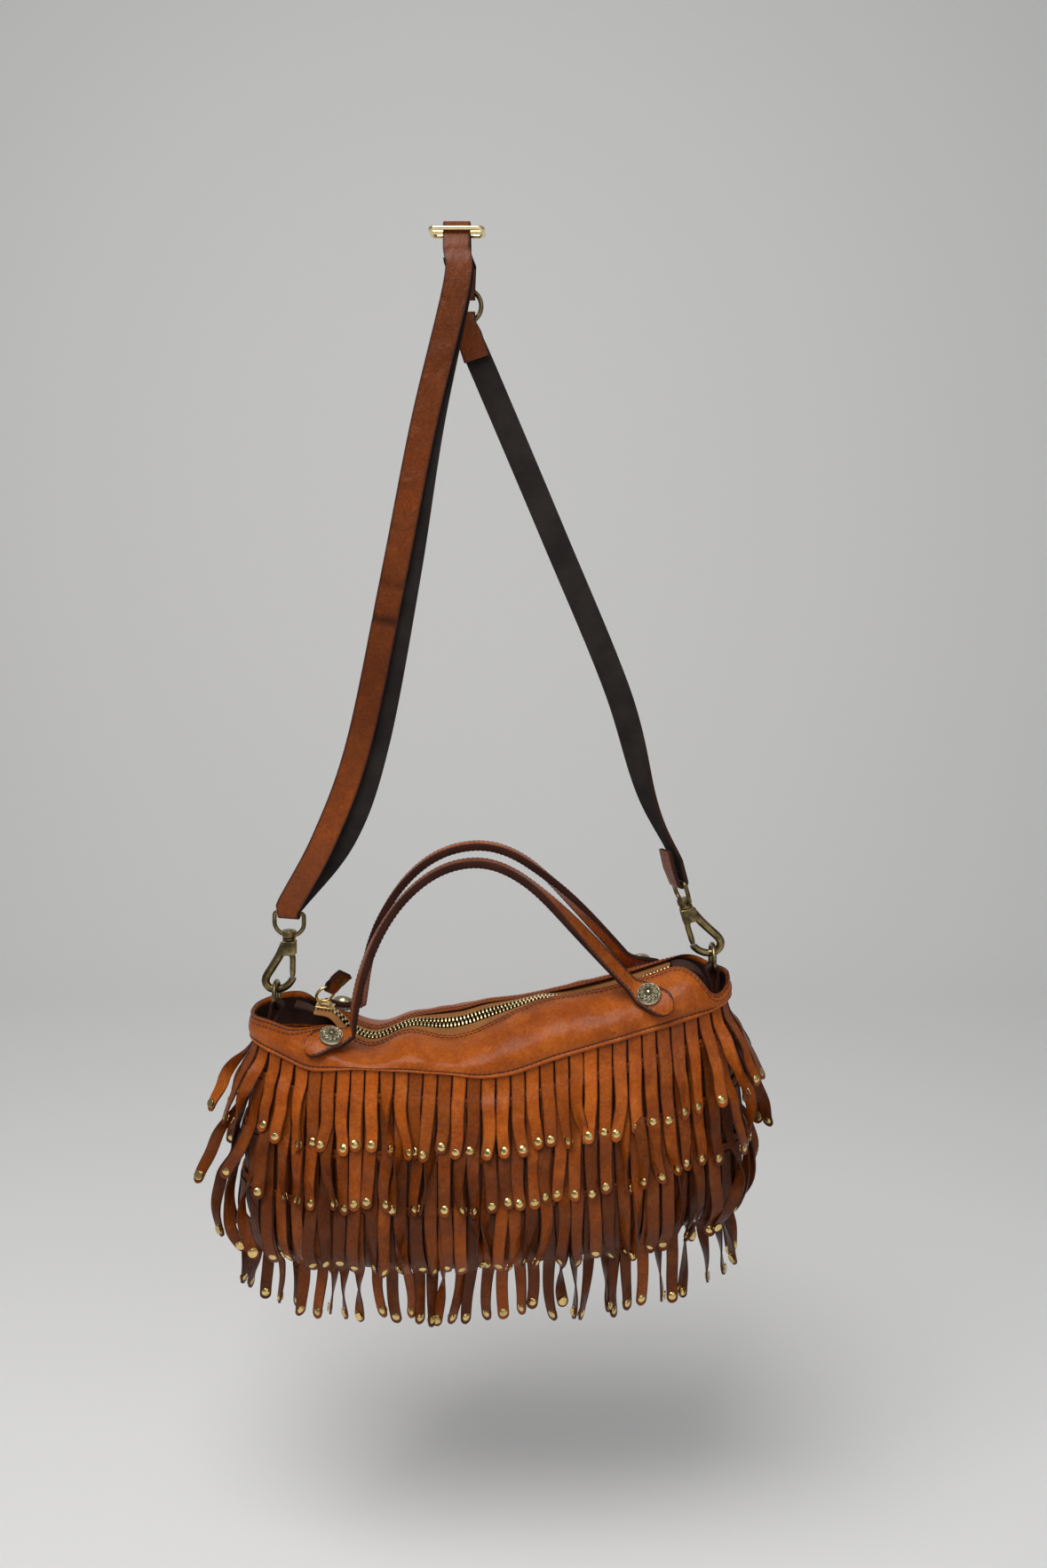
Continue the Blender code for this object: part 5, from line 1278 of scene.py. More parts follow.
def build_zip():
    """Tapes, teeth and end tabs."""
    size = sizes()
    shape, faces, kinds = tooth_shape()
    for side, label in ((1, "front"), (-1, "back")):
        heap = Heap()
        count = int(ZIP_LENGTH / size.tooth_pitch)
        for number in range(count):
            length = (number + (0.5 if side > 0 else 1.0)) * size.tooth_pitch
            if length > ZIP_LENGTH:
                continue
            centre = zip_point(length, side * 0.0019)
            ahead = unit(zip_point(length + 0.0005, side * 0.0019)
                         - zip_point(length - 0.0005, side * 0.0019))
            up = unit(zip_point(length, side * 0.0019, 0.001) - centre)
            wide = np.cross(ahead, up)
            points = (centre + np.outer(shape[:, 0] * 0.0014, ahead)
                      + np.outer(shape[:, 1] * size.tooth, wide)
                      + np.outer(shape[:, 2] * 0.0023, up))
            heap.add(points, faces, kinds)
        item = heap.object(f"teeth_{label}", ["bright_brass"], 50.0)
        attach(item, "bag")
        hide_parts(f"zip_teeth_{label}")
        build_tape(side, label)
    for label, start, length, wide, droop, kind in (
            ("left", -0.0128, 0.0120, 0.0060, 0.002, "strap_leather"),
            ("right", ZIP_LENGTH + 0.0006, 0.0200, 0.0098, 0.013, "band_leather")):
        share = np.linspace(0.0, 1.0, 13)
        centres = zip_point(start + length * share, 0.0, 0.0)
        centres[:, 2] -= droop * share ** 2
        ways = directions(centres)
        across = np.tile((0.0, -1.0, 0.0), (13, 1))
        # The left tab's tone of -0.35 is painted shade.
        item = sweep_flat(f"end_tab_{label}", centres, across, np.cross(across, ways) * -1.0,
                          wide * (1 - 0.25 * share ** 3), 0.0011, [kind, "suede", "edge"],
                          tones=-0.35 if label == "left" else 0.0)
        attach(item, "bag")
        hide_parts(f"zip_end_tab_{label}")


def build_tape(side, label):
    """One half of the tape, from its bead beside the teeth to the band's inner face."""
    columns = 160
    length = np.linspace(0.0, ZIP_LENGTH, columns)
    bead = zip_point(length, side * 0.0036)
    near = zip_point(length, side * 0.0062)
    u = bead[:, 0] - BAG_OFFSET
    front = 1 if side > 0 else 0
    _, top = band_levels(u, front)
    edge = hang(u, -side * (EDGE_APART + 0.0050), top - 0.0032)
    sewn = ease((length - 0.006) / 0.026)[:, None]
    edge = edge * sewn + (zip_point(length, side * 0.0090) - [0, 0, 0.0012]) * (1 - sewn)
    bend = near * 0.35 + edge * 0.65
    low_bend = np.minimum(bend[:, 2], hang(u, 0, top - 0.0026)[:, 2])
    bend[:, 2] = low_bend * sewn[:, 0] + bend[:, 2] * (1 - sewn[:, 0])
    rings = []
    thick = np.array([0, 0, 0.0005])
    for line in (bead, near, bend, edge):
        rings.append(line + thick)
    for line in (edge, bend, near, bead):
        rings.append(line - thick)
    points = np.stack(rings, axis=1).reshape(-1, 3)
    item = mesh_object(f"tape_{label}", points, skin_faces(columns, 8), ["zip_tape"], None, 60.0)
    soften = item.modifiers.new("soften", "SUBSURF")
    soften.levels = 1
    apply_modifiers(item)
    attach(item, "bag")
    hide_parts(f"zip_tape_{label}")


def build_slider():
    """Slider, its ring, and the leather pull with its rivet."""
    spot = Vector(zip_point(SLIDER_MIDDLE, ripple=False))
    ahead = Vector(unit(zip_point(SLIDER_MIDDLE + 0.001, ripple=False)
                        - zip_point(SLIDER_MIDDLE - 0.001, ripple=False)))
    up = Vector(unit(zip_point(SLIDER_MIDDLE, 0.0, 0.001, ripple=False) - np.array(spot)))
    front = -Y
    pieces = []
    for level in (1, -1):
        centre = spot + up * (level * 0.0023)
        pieces.append(block("plate", centre, (ahead, front, up), (0.0118, 0.0098, 0.0012),
                            "stud_brass", 0.0005))
    pieces.append(block("post", spot - ahead * 0.0045, (ahead, front, up),
                        (0.0026, 0.0009, 0.0050), "stud_brass", 0.0003))
    line = [(-0.0034, 0.0026), (-0.0033, 0.0044), (-0.0022, 0.0057), (0.0, 0.0060),
            (0.0022, 0.0057), (0.0033, 0.0044), (0.0034, 0.0026)]
    bail = curve([np.array(spot + ahead * along + up * rise) for along, rise in line], 5)
    pieces.append(tube("bail", bail, 0.00085, "stud_brass", flat=(1.0, 1.5)))
    slider = join("slider", pieces)
    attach(slider, "zip_slider")
    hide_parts("zip_slider")
    place = spot + up * PULL_AXIS_UP
    lean = up * math.cos(PULL_LEAN) + ahead * math.sin(PULL_LEAN)
    flat = up * math.sin(PULL_LEAN) - ahead * math.cos(PULL_LEAN)
    wide = front * math.cos(PULL_TWIST) + flat * math.sin(PULL_TWIST)
    face = flat * math.cos(PULL_TWIST) - front * math.sin(PULL_TWIST)
    ring_lean = up * math.cos(RING_LEAN) - ahead * math.sin(RING_LEAN)
    ring = torus("pull_ring", place + ring_lean * PULL_RING_RADIUS, face, PULL_RING_RADIUS, 0.0009,
                 "stud_brass")
    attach(ring, "zip_pull")
    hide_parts("zip_pull_ring")
    base = place + ring_lean * PULL_RING_RADIUS + lean * PULL_RING_RADIUS
    fold = 0.00235
    route = []
    widths = []
    for length in np.linspace(PULL_LENGTH, 0.004, 9):
        route.append((length, -0.0010))
        widths.append(0.0054)
    for step in range(9):
        angle = math.pi * step / 8
        route.append((-(fold + 0.0008) * math.sin(angle), -fold * math.cos(angle)))
        widths.append(0.0033)
    for length in np.linspace(0.004, PULL_LENGTH, 9):
        route.append((length, 0.0010))
        widths.append(0.0054)
    widths = np.convolve(np.pad(widths, 1, mode="edge"), (0.25, 0.5, 0.25), "valid")
    centres = []
    for length, off in route:
        curl = max(0.0, length - 0.003)
        bend = min(PULL_BEND, curl * PULL_CURL)
        straight = max(0, curl - PULL_BEND / PULL_CURL)
        spot = base + lean * (length - curl + math.sin(bend) / PULL_CURL + straight * 0.45)
        spot -= Y * ((1 - math.cos(bend)) / PULL_CURL + straight * 0.89)
        centres.append(np.array(spot + face * off))
    ways = directions(centres)
    wides = np.tile(np.array(wide), (len(centres), 1))
    normals = np.cross(wides, ways)
    tab = sweep_flat("pull_tab", centres, wides, normals, widths, 0.00085,
                     ["strap_leather", "suede", "edge"])
    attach(tab, "zip_pull")
    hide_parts("zip_pull_tab")
    sight = face if face.y < 0 else -face
    head = base + lean * 0.0092 - Y * 0.0020 + sight * 0.0019
    rivet = drum("pull_rivet", head, head + sight * 0.0010, 0.0037, "antique_brass", 0.0004)
    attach(rivet, "zip_pull")
    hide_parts("zip_pull_rivet")


# Handles and their ornamental studs

def band_surface(u, h, side, outward):
    """World place and outward direction on the band, at a height over the seam measured on its
    upright part and carried inwards along the view; side 1 is the back."""
    front = 0 if side > 0 else 1
    slant = 0.344

    def at(u_here, h_here):
        shares = np.linspace(-0.2, 1.0, 97)
        reach = band_edge_y(u_here) + band_out(shares)
        depths, heights = band_section(u_here, side * reach, shares, 0 * shares, front)
        heights = heights + np.minimum(shares, 0.0) * 0.03
        depths = np.abs(depths)
        wanted = h_here - slant * (band_edge_y(u_here) + band_out(0.5))
        seen = heights - slant * depths
        return np.array([np.interp(wanted, seen, depths), np.interp(wanted, seen, heights)])

    spot = at(u, h)
    along = at(u + 0.002, h) - at(u - 0.002, h)
    climb = at(u, h + 0.002) - at(u, h - 0.002)
    place = hang(u, side * spot[0], spot[1])
    way_u = hang(u + 0.002, side * spot[0], spot[1]) - hang(u - 0.002, side * spot[0], spot[1])
    way_u = way_u + np.array([0.0, side * along[0], along[1]])
    way_h = np.array([0.0, side * climb[0], max(climb[1], 0.0004)])
    normal = unit(np.cross(way_u, way_h)) * -side
    if normal[1] * side < 0:
        normal = -normal
    return place + normal * outward, normal


def handle_course(side, drop):
    """Centre line of a handle with its width direction, outer face and sizes."""
    size = sizes()
    lift = 0.0017 + 0.0015
    ends = []
    for end in (-1, 1):
        part = []
        height, slant = CONCHO_HEIGHTS[end], TAB_SLANTS[end]
        anchor, facing = band_surface(end * HANDLE_SPAN, height, side, lift)
        upright = np.array([-end * math.sin(slant), 0.0, math.cos(slant)])
        tangent = unit(upright - facing * upright.dot(facing))
        for share in np.concatenate((np.linspace(-1.0, -0.5, 9), np.linspace(-0.3, 1.0, 8))):
            length = share * (0.0165 if share < 0 else 0.0150)
            if share < 0:
                u = end * (HANDLE_SPAN - length * math.sin(slant))
                h = height + length * math.cos(slant)
                low, normal = band_surface(u, h, side, lift)
                place = low * 0.6 + (anchor + tangent * length) * 0.4
                way = tangent
            else:
                place = anchor + tangent * length + (upright - tangent) * (length * share * 0.5)
                way = unit(tangent * (1 - share) + upright * share)
                normal = facing
            way = unit(way - normal * way.dot(normal) * (share < 0))
            normal = unit(normal - way * normal.dot(way))
            across = np.cross(way, normal) * -end
            if share < -0.45:
                width = math.sqrt(max(0.02, 1 - ((-0.45 - share) / 0.56) ** 2))
            else:
                width = 1.0 - 0.42 * ease((share - 0.1) / 0.9)
            part.append((place, across, normal, 0.00875 * width, 0.0015))
        ends.append(part)
    start, finish = ends[0], ends[1][::-1]
    left, right = start[-1][0], finish[0][0]
    top_z = (hang(-HANDLE_SPAN, 0, 0)[2] + hang(HANDLE_SPAN, 0, 0)[2]) / 2 + 0.1195 - drop
    top_y = side * 0.011
    steps = 46
    line = []
    for number in range(1, steps):
        t = number / steps
        middle = 2 * t - 1
        base = left + (right - left) * t
        bow = 1 - abs(middle) ** 2.1
        stretch = ARCH_LEAN * (1 - middle ** 4)
        line.append(np.array([base[0] - stretch, base[1] + (top_y - base[1]) * (1 - middle ** 2) ** 2,
                              base[2] + (top_z - (left[2] + right[2]) / 2) * bow]))
    ways = directions([left] + line + [right])[1:-1]
    course = list(start)
    for number, (spot, way) in enumerate(zip(line, ways)):
        t = (number + 1) / steps
        near = start[-1] if t < 0.5 else finish[0]
        turned = float(ease(min(t, 1 - t) * 3.6))
        across = near[1] * (1 - turned) + np.array([0, -1, 0]) * turned
        across = unit(across - way * across.dot(way))
        normal = np.cross(across, way)
        grow = float(ease(min(t, 1 - t) * 6))
        width = near[3] + (size.handle_width / 2 - near[3]) * grow
        thick = near[4] + (size.handle_thickness / 2 - near[4]) * grow
        course.append((spot, across, normal, width, thick))
    return course + finish


def build_handles():
    """Both handles, with stitches along their edges."""
    for side, label, drop in ((-1, "front", 0.006), (1, "back", 0.0)):
        course = handle_course(side, drop)
        centres, across, normals, widths, heights = (np.array(part) for part in zip(*course))
        flip = 1.0
        middle = len(course) // 2
        if normals[middle][2] < 0:
            flip = -1.0
        rank = np.arange(len(centres))
        arch = ease((np.minimum(rank, rank[::-1]) - 12) / 8)
        tone = 0.02 - (0.42 if side < 0 else 0.12) * arch
        item = sweep_flat(f"strap_handle_{label}", centres, across, normals * flip, widths, heights,
                          ["band_leather", "band_leather", "edge"], 0.6, tones=tone, crown=0.25)
        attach(item, "bag")
        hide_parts(f"handle_{label}")
        rows = []
        for row_side in (-1, 1):
            for face in (1, -1):
                inset = widths - 0.0016
                line = (centres + across * (inset * row_side)[:, None]
                        + normals * (heights * face * 1.02)[:, None])
                rows.append((line[4:-4], normals[4:-4] * face))
        sew(f"handle_stitches_{label}", rows, "bag")


def concho_relief(radius, angle):
    """Height of the ornament's pattern, 0 to 1: a boss, petals, scrolls and a beaded rim."""
    boss = ease((0.15 - radius) / 0.05)
    petal = np.abs(np.cos(4 * angle)) ** 0.6
    rim_of_petal = np.exp(-((radius - 0.20 - 0.30 * petal) / 0.045) ** 2)
    vein = np.exp(-(np.sin(4 * angle) / 0.22) ** 2) * ease((0.46 - radius) / 0.08) * ease(
        (radius - 0.17) / 0.04)
    scroll = np.exp(-((np.sin(6 * angle + 13 * radius)) / 0.42) ** 2) * np.exp(
        -((radius - 0.69) / 0.13) ** 2)
    curl = np.exp(-((np.hypot((radius - 0.66) * 5.5, np.sin(6 * angle) * 0.9) - 0.55) / 0.20) ** 2)
    bead = (0.6 + 0.4 * np.cos(44 * angle)) * np.exp(-((radius - 0.88) / 0.030) ** 2)
    rim = ease((radius - 0.93) / 0.03)
    parts = (boss, rim_of_petal, 0.75 * vein, 0.9 * scroll, 0.8 * curl * (radius < 0.84), bead, rim)
    return np.clip(np.maximum.reduce(parts), 0.0, 1.0)


def concho_shape():
    """The ornament on z = 0, its points, faces and how hollow each place is."""
    size = sizes()
    deselect()
    bpy.ops.mesh.primitive_uv_sphere_add(segments=96, ring_count=72, radius=1.0)
    points, faces, kinds = read_mesh(bpy.context.object)
    polar = np.arccos(np.clip(points[:, 2], -1, 1)) / (np.pi / 2)
    angle = np.arctan2(points[:, 1], points[:, 0])
    radius = np.where(polar <= 1, polar, np.maximum(0.0, 2 - polar))
    upper = polar <= 1.0001
    relief = concho_relief(radius, angle)
    dome = 0.0009 + size.concho_dome * np.sqrt(np.clip(1 - (radius * 0.95) ** 2, 0, 1)) * 0.92
    rise = np.where(upper, dome + (relief - 0.5) * size.concho_relief * (radius < 0.97), 0.0)
    shaped = np.stack([radius * np.cos(angle) * size.concho_radius,
                       radius * np.sin(angle) * size.concho_radius, rise], axis=1)
    hollow = np.where(upper, (1 - relief) ** 1.3, 1.0)
    return shaped, faces, kinds, hollow


def build_conchos():
    """The four ornaments on the handles' tabs."""
    shape, faces, kinds, hollow = concho_shape()
    for u_side, end in ((-1, "left"), (1, "right")):
        for side, face in ((-1, "front"), (1, "back")):
            place, normal = band_surface(u_side * HANDLE_SPAN, CONCHO_HEIGHTS[u_side], side, 0.0047)
            across = unit(np.cross((1.0, 0.0, 0.0), normal))
            up = np.cross(normal, across)
            points = (place + np.outer(shape[:, 0], across) + np.outer(shape[:, 1], up)
                      + np.outer(shape[:, 2], normal))
            heap = Heap()
            heap.add(points, faces, kinds, relief=hollow)
            item = heap.object(f"ornament_{face}_{end}", ["concho_metal"], 50.0)
            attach(item, "bag")
            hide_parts(f"concho_{face}_{end}")


# Ends of the bag

def build_ends():
    """Leather loops at the ends and the rings that hang in them."""
    size = sizes()
    for index, label in enumerate(("left", "right")):
        centre = RING_CENTRES[index]
        ring = torus(f"ring_{label}", centre, X, size.ring_radius, size.ring_wire, "antique_brass")
        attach(ring, f"ring_{label}")
        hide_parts(f"end_ring_{label}")
        low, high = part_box(f"end_loop_{label}")
        sign = -1 if index == 0 else 1
        inner = size.ring_radius - size.ring_wire
        seat = centre.z - inner + 0.0022
        wall_x = (high[0] if sign > 0 else low[0]) - sign * LEATHER / 2
        other_x = wall_x - sign * (LEATHER + 0.0006)
        base = low[2] + 0.0006
        fold = size.ring_wire + 0.0018
        route = [(wall_x, base), (wall_x, base + 0.012), (wall_x, base + 0.020),
                 (centre.x + sign * fold, seat - fold * 1.3),
                 (centre.x + sign * fold * 0.8, seat - fold * 0.35),
                 (centre.x, seat), (centre.x - sign * fold * 0.8, seat - fold * 0.35),
                 (centre.x - sign * fold, seat - fold * 1.3), (other_x, base + 0.020),
                 (other_x, base + 0.012), (other_x, base)]
        line = curve([(x, 0.0, z) for x, z in route], 5)
        ways = directions(line)
        wide = np.tile((0.0, 1.0, 0.0), (len(line), 1))
        share = np.abs(np.linspace(-1, 1, len(line)))
        widths = 0.0045 * (1 + 0.35 * ease(share * 2 - 0.6))
        normals = np.cross(wide, ways) * -sign
        loop = sweep_flat(f"loop_{label}", line, wide, normals, widths, LEATHER / 2,
                          ["strap_leather", "suede", "edge"])
        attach(loop, "bag")
        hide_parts(f"end_loop_{label}")


# Snap hooks

class HookFrame:
    """Directions of one snap hook."""

    def __init__(self, index):
        self.side = -1 if index == 0 else 1
        self.pin = HOOK_PINS[index]
        self.up = HOOK_UPS[index]
        self.out = HOOK_OUTS[index]
        turn = EYE_TURNS[index]
        self.eye_across = self.out * math.cos(turn) + Y * math.sin(turn) * -self.side
        self.eye_depth = self.up.cross(self.eye_across)

    def at(self, out, up, depth=0.0):
        """World place of a point of the hook."""
        return self.pin + self.out * out + self.up * up + Y * depth

    def eye(self, across, up):
        """World place of a point of the swivel eye."""
        return self.at(SWIVEL_X, SWIVEL_LOW + up) + self.eye_across * across


def build_hooks():
    """Both snap hooks: cast body, gate, pin and swivel eye."""
    for index, label in enumerate(("left", "right")):
        hook = HookFrame(index)
        arm = curve([(x, z, 0.0) for x, z in HOOK_ARM], 7)
        line = [np.array(hook.at(x, z)) for x, z, _ in arm]
        share = np.linspace(0, 1, len(line))
        pieces = [tube("arm", line, 0.0024 * (1.18 - 0.26 * share), "antique_brass",
                       flat=(1.0, 0.92), sides=18)]
        pieces[0].data.materials.clear()
        pieces[0].data.materials.append(surface("antique_brass"))
        for depth in (-1, 1):
            cheek = block("cheek", hook.at(0.0010, 0.0012, depth * 0.00275),
                          (hook.out, hook.up, Y), (0.0090, 0.0092, 0.0016), "antique_brass", 0.0007)
            pieces.append(cheek)
        pieces.append(block("crown", hook.at(0.0010, 0.0050), (hook.out, hook.up, Y),
                            (0.0078, 0.0022, 0.0066), "antique_brass", 0.0009))
        pieces.append(block("shoulder", hook.at(0.0050, 0.0006), (hook.out, hook.up, Y),
                            (0.0036, 0.0080, 0.0066), "antique_brass", 0.0012))
        pieces.append(drum("stem", hook.at(SWIVEL_X, 0.0045), hook.at(SWIVEL_X, 0.0118), 0.0016,
                           "antique_brass", 0.0002))
        pieces.append(drum("stem_head", hook.at(SWIVEL_X, 0.0112), hook.at(SWIVEL_X, 0.0128),
                           0.0025, "antique_brass", 0.0006))
        body = join(f"snap_{label}", pieces)
        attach(body, f"hook_{label}_body")
        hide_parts(f"hook_{label}")
        pin = drum(f"pin_{label}", hook.at(0, 0, -0.0040), hook.at(0, 0, 0.0040), 0.0013,
                   "antique_brass", 0.0003)
        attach(pin, f"hook_{label}_body")
        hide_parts(f"hook_pin_{label}")
        course = curve([(0.0, 0.0018, 0), (0.0, 0.0, 0), (-0.0007, -0.0032, 0), (-0.0014, -0.0060, 0),
                        (-0.0014, -0.0120, 0), (-0.0014, -0.0176, 0)], 6)
        line = [np.array(hook.at(x, z)) for x, z, _ in course]
        radius = np.interp(np.linspace(0, 1, len(line)), (0, 0.15, 0.45, 0.9, 1.0),
                           (0.0016, 0.0017, 0.0019, 0.0019, 0.0015))
        gate = tube(f"gate_{label}", line, radius, "antique_brass", sides=16)
        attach(gate, f"gate_{label}")
        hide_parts(f"hook_gate_{label}")
        build_eye(hook, label)


def build_eye(hook, label):
    """Turned barrel with a D-shaped eye for the strap."""
    centre_up = SWIVEL_HEIGHT * 0.45
    half = 0.0096
    top = centre_up + EYE_HEIGHT
    points = []
    for angle in np.linspace(0, math.pi / 2, 12):
        points.append((half * math.sin(angle), centre_up + EYE_HEIGHT * 0.55 * (1 - math.cos(angle))))
    corner = 0.0022
    for angle in np.linspace(0, math.pi / 2, 6):
        points.append((half - corner * (1 - math.cos(angle)), top - corner * (1 - math.sin(angle))))
    points.append((half * 0.4, top))
    mirrored = [(-x, z) for x, z in reversed(points[1:])]
    line = [np.array(hook.eye(x, z)) for x, z in points + mirrored]
    pieces = [tube("eye_ring", line, 0.0014, "antique_brass", closed=True, plane=hook.eye_depth)]
    low = SWIVEL_LOW
    for start, end, radius in ((0.0, 0.0016, 0.0042), (0.0014, 0.0026, 0.0036),
                               (0.0024, 0.0062, 0.0046)):
        pieces.append(drum("barrel", hook.at(SWIVEL_X, low + start), hook.at(SWIVEL_X, low + end),
                           radius, "antique_brass", 0.0005))
    item = join(f"eye_{label}", pieces)
    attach(item, "bag")
    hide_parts(f"hook_eye_{label}")


# Strap

def lay_strap(name, node, places, creases_at=()):
    """A strap through places given with their width direction and half width."""
    size = sizes()
    centres = np.array([np.array(place) for place, _, _ in places])
    across = np.array([np.array(wide) for _, wide, _ in places])
    widths = np.array([half for _, _, half in places])
    ways = directions(centres)
    across = unit(across - ways * np.sum(across * ways, axis=1, keepdims=True))
    normals = np.cross(across, ways)
    tone = 0.10 * np.sin(np.arange(len(places)) * 0.11) + 0.05
    tone = tone - 0.36 * ease((centres[:, 2] + 0.36) / 0.10)
    for middle, depth in creases_at:
        dent = np.exp(-((centres[:, 2] - middle) / 0.0016) ** 2) * (centres[:, 1] < -0.011)
        centres = centres + normals * (dent * depth)[:, None]
        # Each crease is also darkened: painted shade.
        tone = tone - 0.55 * dent
    item = sweep_flat(name, centres, across, normals, widths, size.strap_leather / 2,
                      ["strap_leather", "flesh", "edge"], 0.35, tones=tone, edge_reach=0.94)
    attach(item, "bag")
    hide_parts(node)
    return centres, across, normals, widths


def fold_places(centre, bar, toward, outward, radius, half, steps):
    """Places of a strap folded round a bar."""
    return [(centre + outward * (radius * math.cos(math.pi * step / steps))
             + toward * (radius * math.sin(math.pi * step / steps)), bar, half)
            for step in range(steps + 1)]


def build_main_strap():
    """Return run, fold in the left eye, front run, slide, and loop for the ring."""
    size = sizes()
    hook = HookFrame(0)
    half = size.strap_width / 2
    thick = size.strap_leather
    gap = 0.0003
    fold = 0.0014 + gap + thick / 2
    bar = hook.eye(0.0, SWIVEL_HEIGHT * 0.45 + EYE_HEIGHT)
    across = hook.eye_across * -1.0
    front = hook.eye_depth if hook.eye_depth.y < 0 else -hook.eye_depth
    left = [Vector((x, STRAP_FRONT_Y, z)) for x, z in LEFT_ROUTE]
    climb = curve([bar + front * fold + hook.up * 0.004] + left[::-1]
                  + [Vector((0.0, STRAP_FRONT_Y * 0.8, -0.008))], 24)
    back = [point + Vector((shift, thick + 0.0012, 0)) for point, shift in zip(left, RETURN_SHIFTS)]
    fall = curve([Vector((0.0, STRAP_FRONT_Y + thick + 0.0012, -0.014))] + back
                 + [bar - front * fold + hook.up * 0.004], 24)
    places = []
    for number, point in enumerate(fall):
        share = float(ease(number / (len(fall) - 1) * 3 - 2))
        places.append((Vector(point), X.lerp(across, share), half))
    places += fold_places(bar, across, -hook.up, -front, fold, half * 0.86, 12)
    for number, point in enumerate(climb):
        share = float(ease(1 - number / (len(climb) - 1) * 3))
        places.append((Vector(point), X.lerp(across, share), half))
    wire = size.slide_wire
    over = wire * 2 + gap + thick / 2
    inside = 0.0105 - wire - gap * 2 - thick / 2
    top = curve([(0, -inside, 0.0), (0, -inside, 2 * wire), (0, -inside * 0.5, over + 0.0012),
                 (0, 0.0, over + 0.0016), (0, inside * 0.5, over + 0.0012), (0, inside, 2 * wire),
                 (0, inside, 0.0), (0, STRAP_BACK_Y, -0.010)], 4)
    places += [(Vector(point), X, half) for point in top]
    ring = ORING_CENTRE
    ring_top = ring + Z * size.oring_radius
    inner = size.oring_radius - size.oring_wire
    loop_half = half * 0.80
    seat = size.oring_radius - math.sqrt(inner ** 2 - loop_half ** 2) + gap + thick / 2
    grip = max(size.oring_wire + gap + thick / 2, seat - size.oring_wire)
    places.append((ring_top + Y * grip + Z * 0.012, X, half * 0.9))
    places += [(ring_top + Y * (grip * math.cos(math.pi * step / 10))
                - Z * (seat * math.sin(math.pi * step / 10)), X, loop_half) for step in range(11)]
    places.append((ring_top - Y * grip + Z * 0.010, X, half * 0.9))
    lay_strap("long_strap", "strap_main", places, ((-0.1986, -0.0012), (-0.2206, -0.0010)))


def build_short_strap():
    """From the ring down to the right hook's eye, with a stitched keeper at its top."""
    size = sizes()
    hook = HookFrame(1)
    half = size.strap_width / 2
    thick = size.strap_leather
    gap = 0.0003
    ring = ORING_CENTRE
    ring_low = ring - Z * size.oring_radius
    inner = size.oring_radius - size.oring_wire
    loop_half = half * 0.80
    seat = size.oring_radius - math.sqrt(inner ** 2 - loop_half ** 2) + gap + thick / 2
    grip = max(size.oring_wire + gap + thick / 2, seat - size.oring_wire)
    down = Vector((0.32, 0, -0.95)).normalized()
    tilted = Vector((0.95, 0, 0.32)).normalized()
    tail_low = ring_low - Y * (thick + 0.0007) + down * 0.022
    tail_high = ring_low - Y * grip + down * 0.008
    places = [(tail_low.lerp(tail_high, share), tilted, half) for share in np.linspace(0, 1, 8)]
    for step in range(13):
        angle = math.pi * step / 12
        places.append((ring_low - Y * (grip * math.cos(angle)) + Z * (seat * math.sin(angle)),
                       X, loop_half))
    fold = 0.0014 + gap + thick / 2
    bar = hook.eye(0.0, SWIVEL_HEIGHT * 0.45 + EYE_HEIGHT)
    across = hook.eye_across * (1.0 if hook.eye_across.x > 0 else -1.0)
    face = hook.eye_depth * (1.0 if hook.eye_depth.y > 0 else -1.0)
    points = [ring_low + Y * grip + down * 0.010]
    points += [Vector((x, STRAP_BACK_Y * (1 + (z + 0.080) / 0.30), z)) for x, z in RIGHT_ROUTE]
    points.append(bar + face * fold + hook.up * 0.014)
    run = curve(points, 22)
    for number, point in enumerate(run):
        turned = float(ease(number / (len(run) - 1) * 2.2 - 1.1))
        places.append((Vector(point), tilted.lerp(across, turned), half))
    places += fold_places(bar, across, -hook.up, face, fold, half * 0.86, 12)
    for share in np.linspace(0, 1, 6):
        low = bar - face * (fold + 0.0006) + hook.up * 0.010
        high = bar - face * (fold - 0.0002) + hook.up * 0.022
        places.append((low.lerp(high, share), across, half))
    lay_strap("short_strap", "strap_short", places)
    corners = []
    for a, b in ((-1, 0.0035), (1, 0.0035), (1, 0.0115), (-1, 0.0115), (-1, 0.0035)):
        corners.append(np.array(tail_low + tilted * (a * (half - 0.0018)) - down * b
                                - Y * (thick / 2 + 0.0001)))
    rows = []
    for start, end in zip(corners, corners[1:]):
        rows.append((np.array([start, end]), np.array([0.0, -1.0, 0.0])))
    sew("keeper_stitches", rows, "bag")


def build_adjuster():
    """Brass slide and round ring."""
    size = sizes()
    wire = size.slide_wire
    corner = 0.003
    line = []
    for x, y, start in ((1, 1, 0), (-1, 1, 90), (-1, -1, 180), (1, -1, 270)):
        for angle in np.linspace(start, start + 90, 6):
            turn = math.radians(angle)
            line.append((x * (0.0150 - corner) + corner * math.cos(turn),
                         y * (0.0105 - corner) + corner * math.sin(turn), wire))
    slide = tube("slide", line, wire, "bright_brass", closed=True, plane=(0, 0, 1))
    bar = drum("slide_bar", (-0.0148, 0, wire), (0.0148, 0, wire), wire * 0.9, "bright_brass",
               0.0001)
    slide = join("slide", [slide, bar])
    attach(slide, "bag")
    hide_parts("strap_adjuster")
    ring = torus("round_ring", ORING_CENTRE, Y, size.oring_radius, size.oring_wire,
                 "antique_brass")
    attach(ring, "strap_ring_body")
    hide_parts("strap_ring")


# Stage

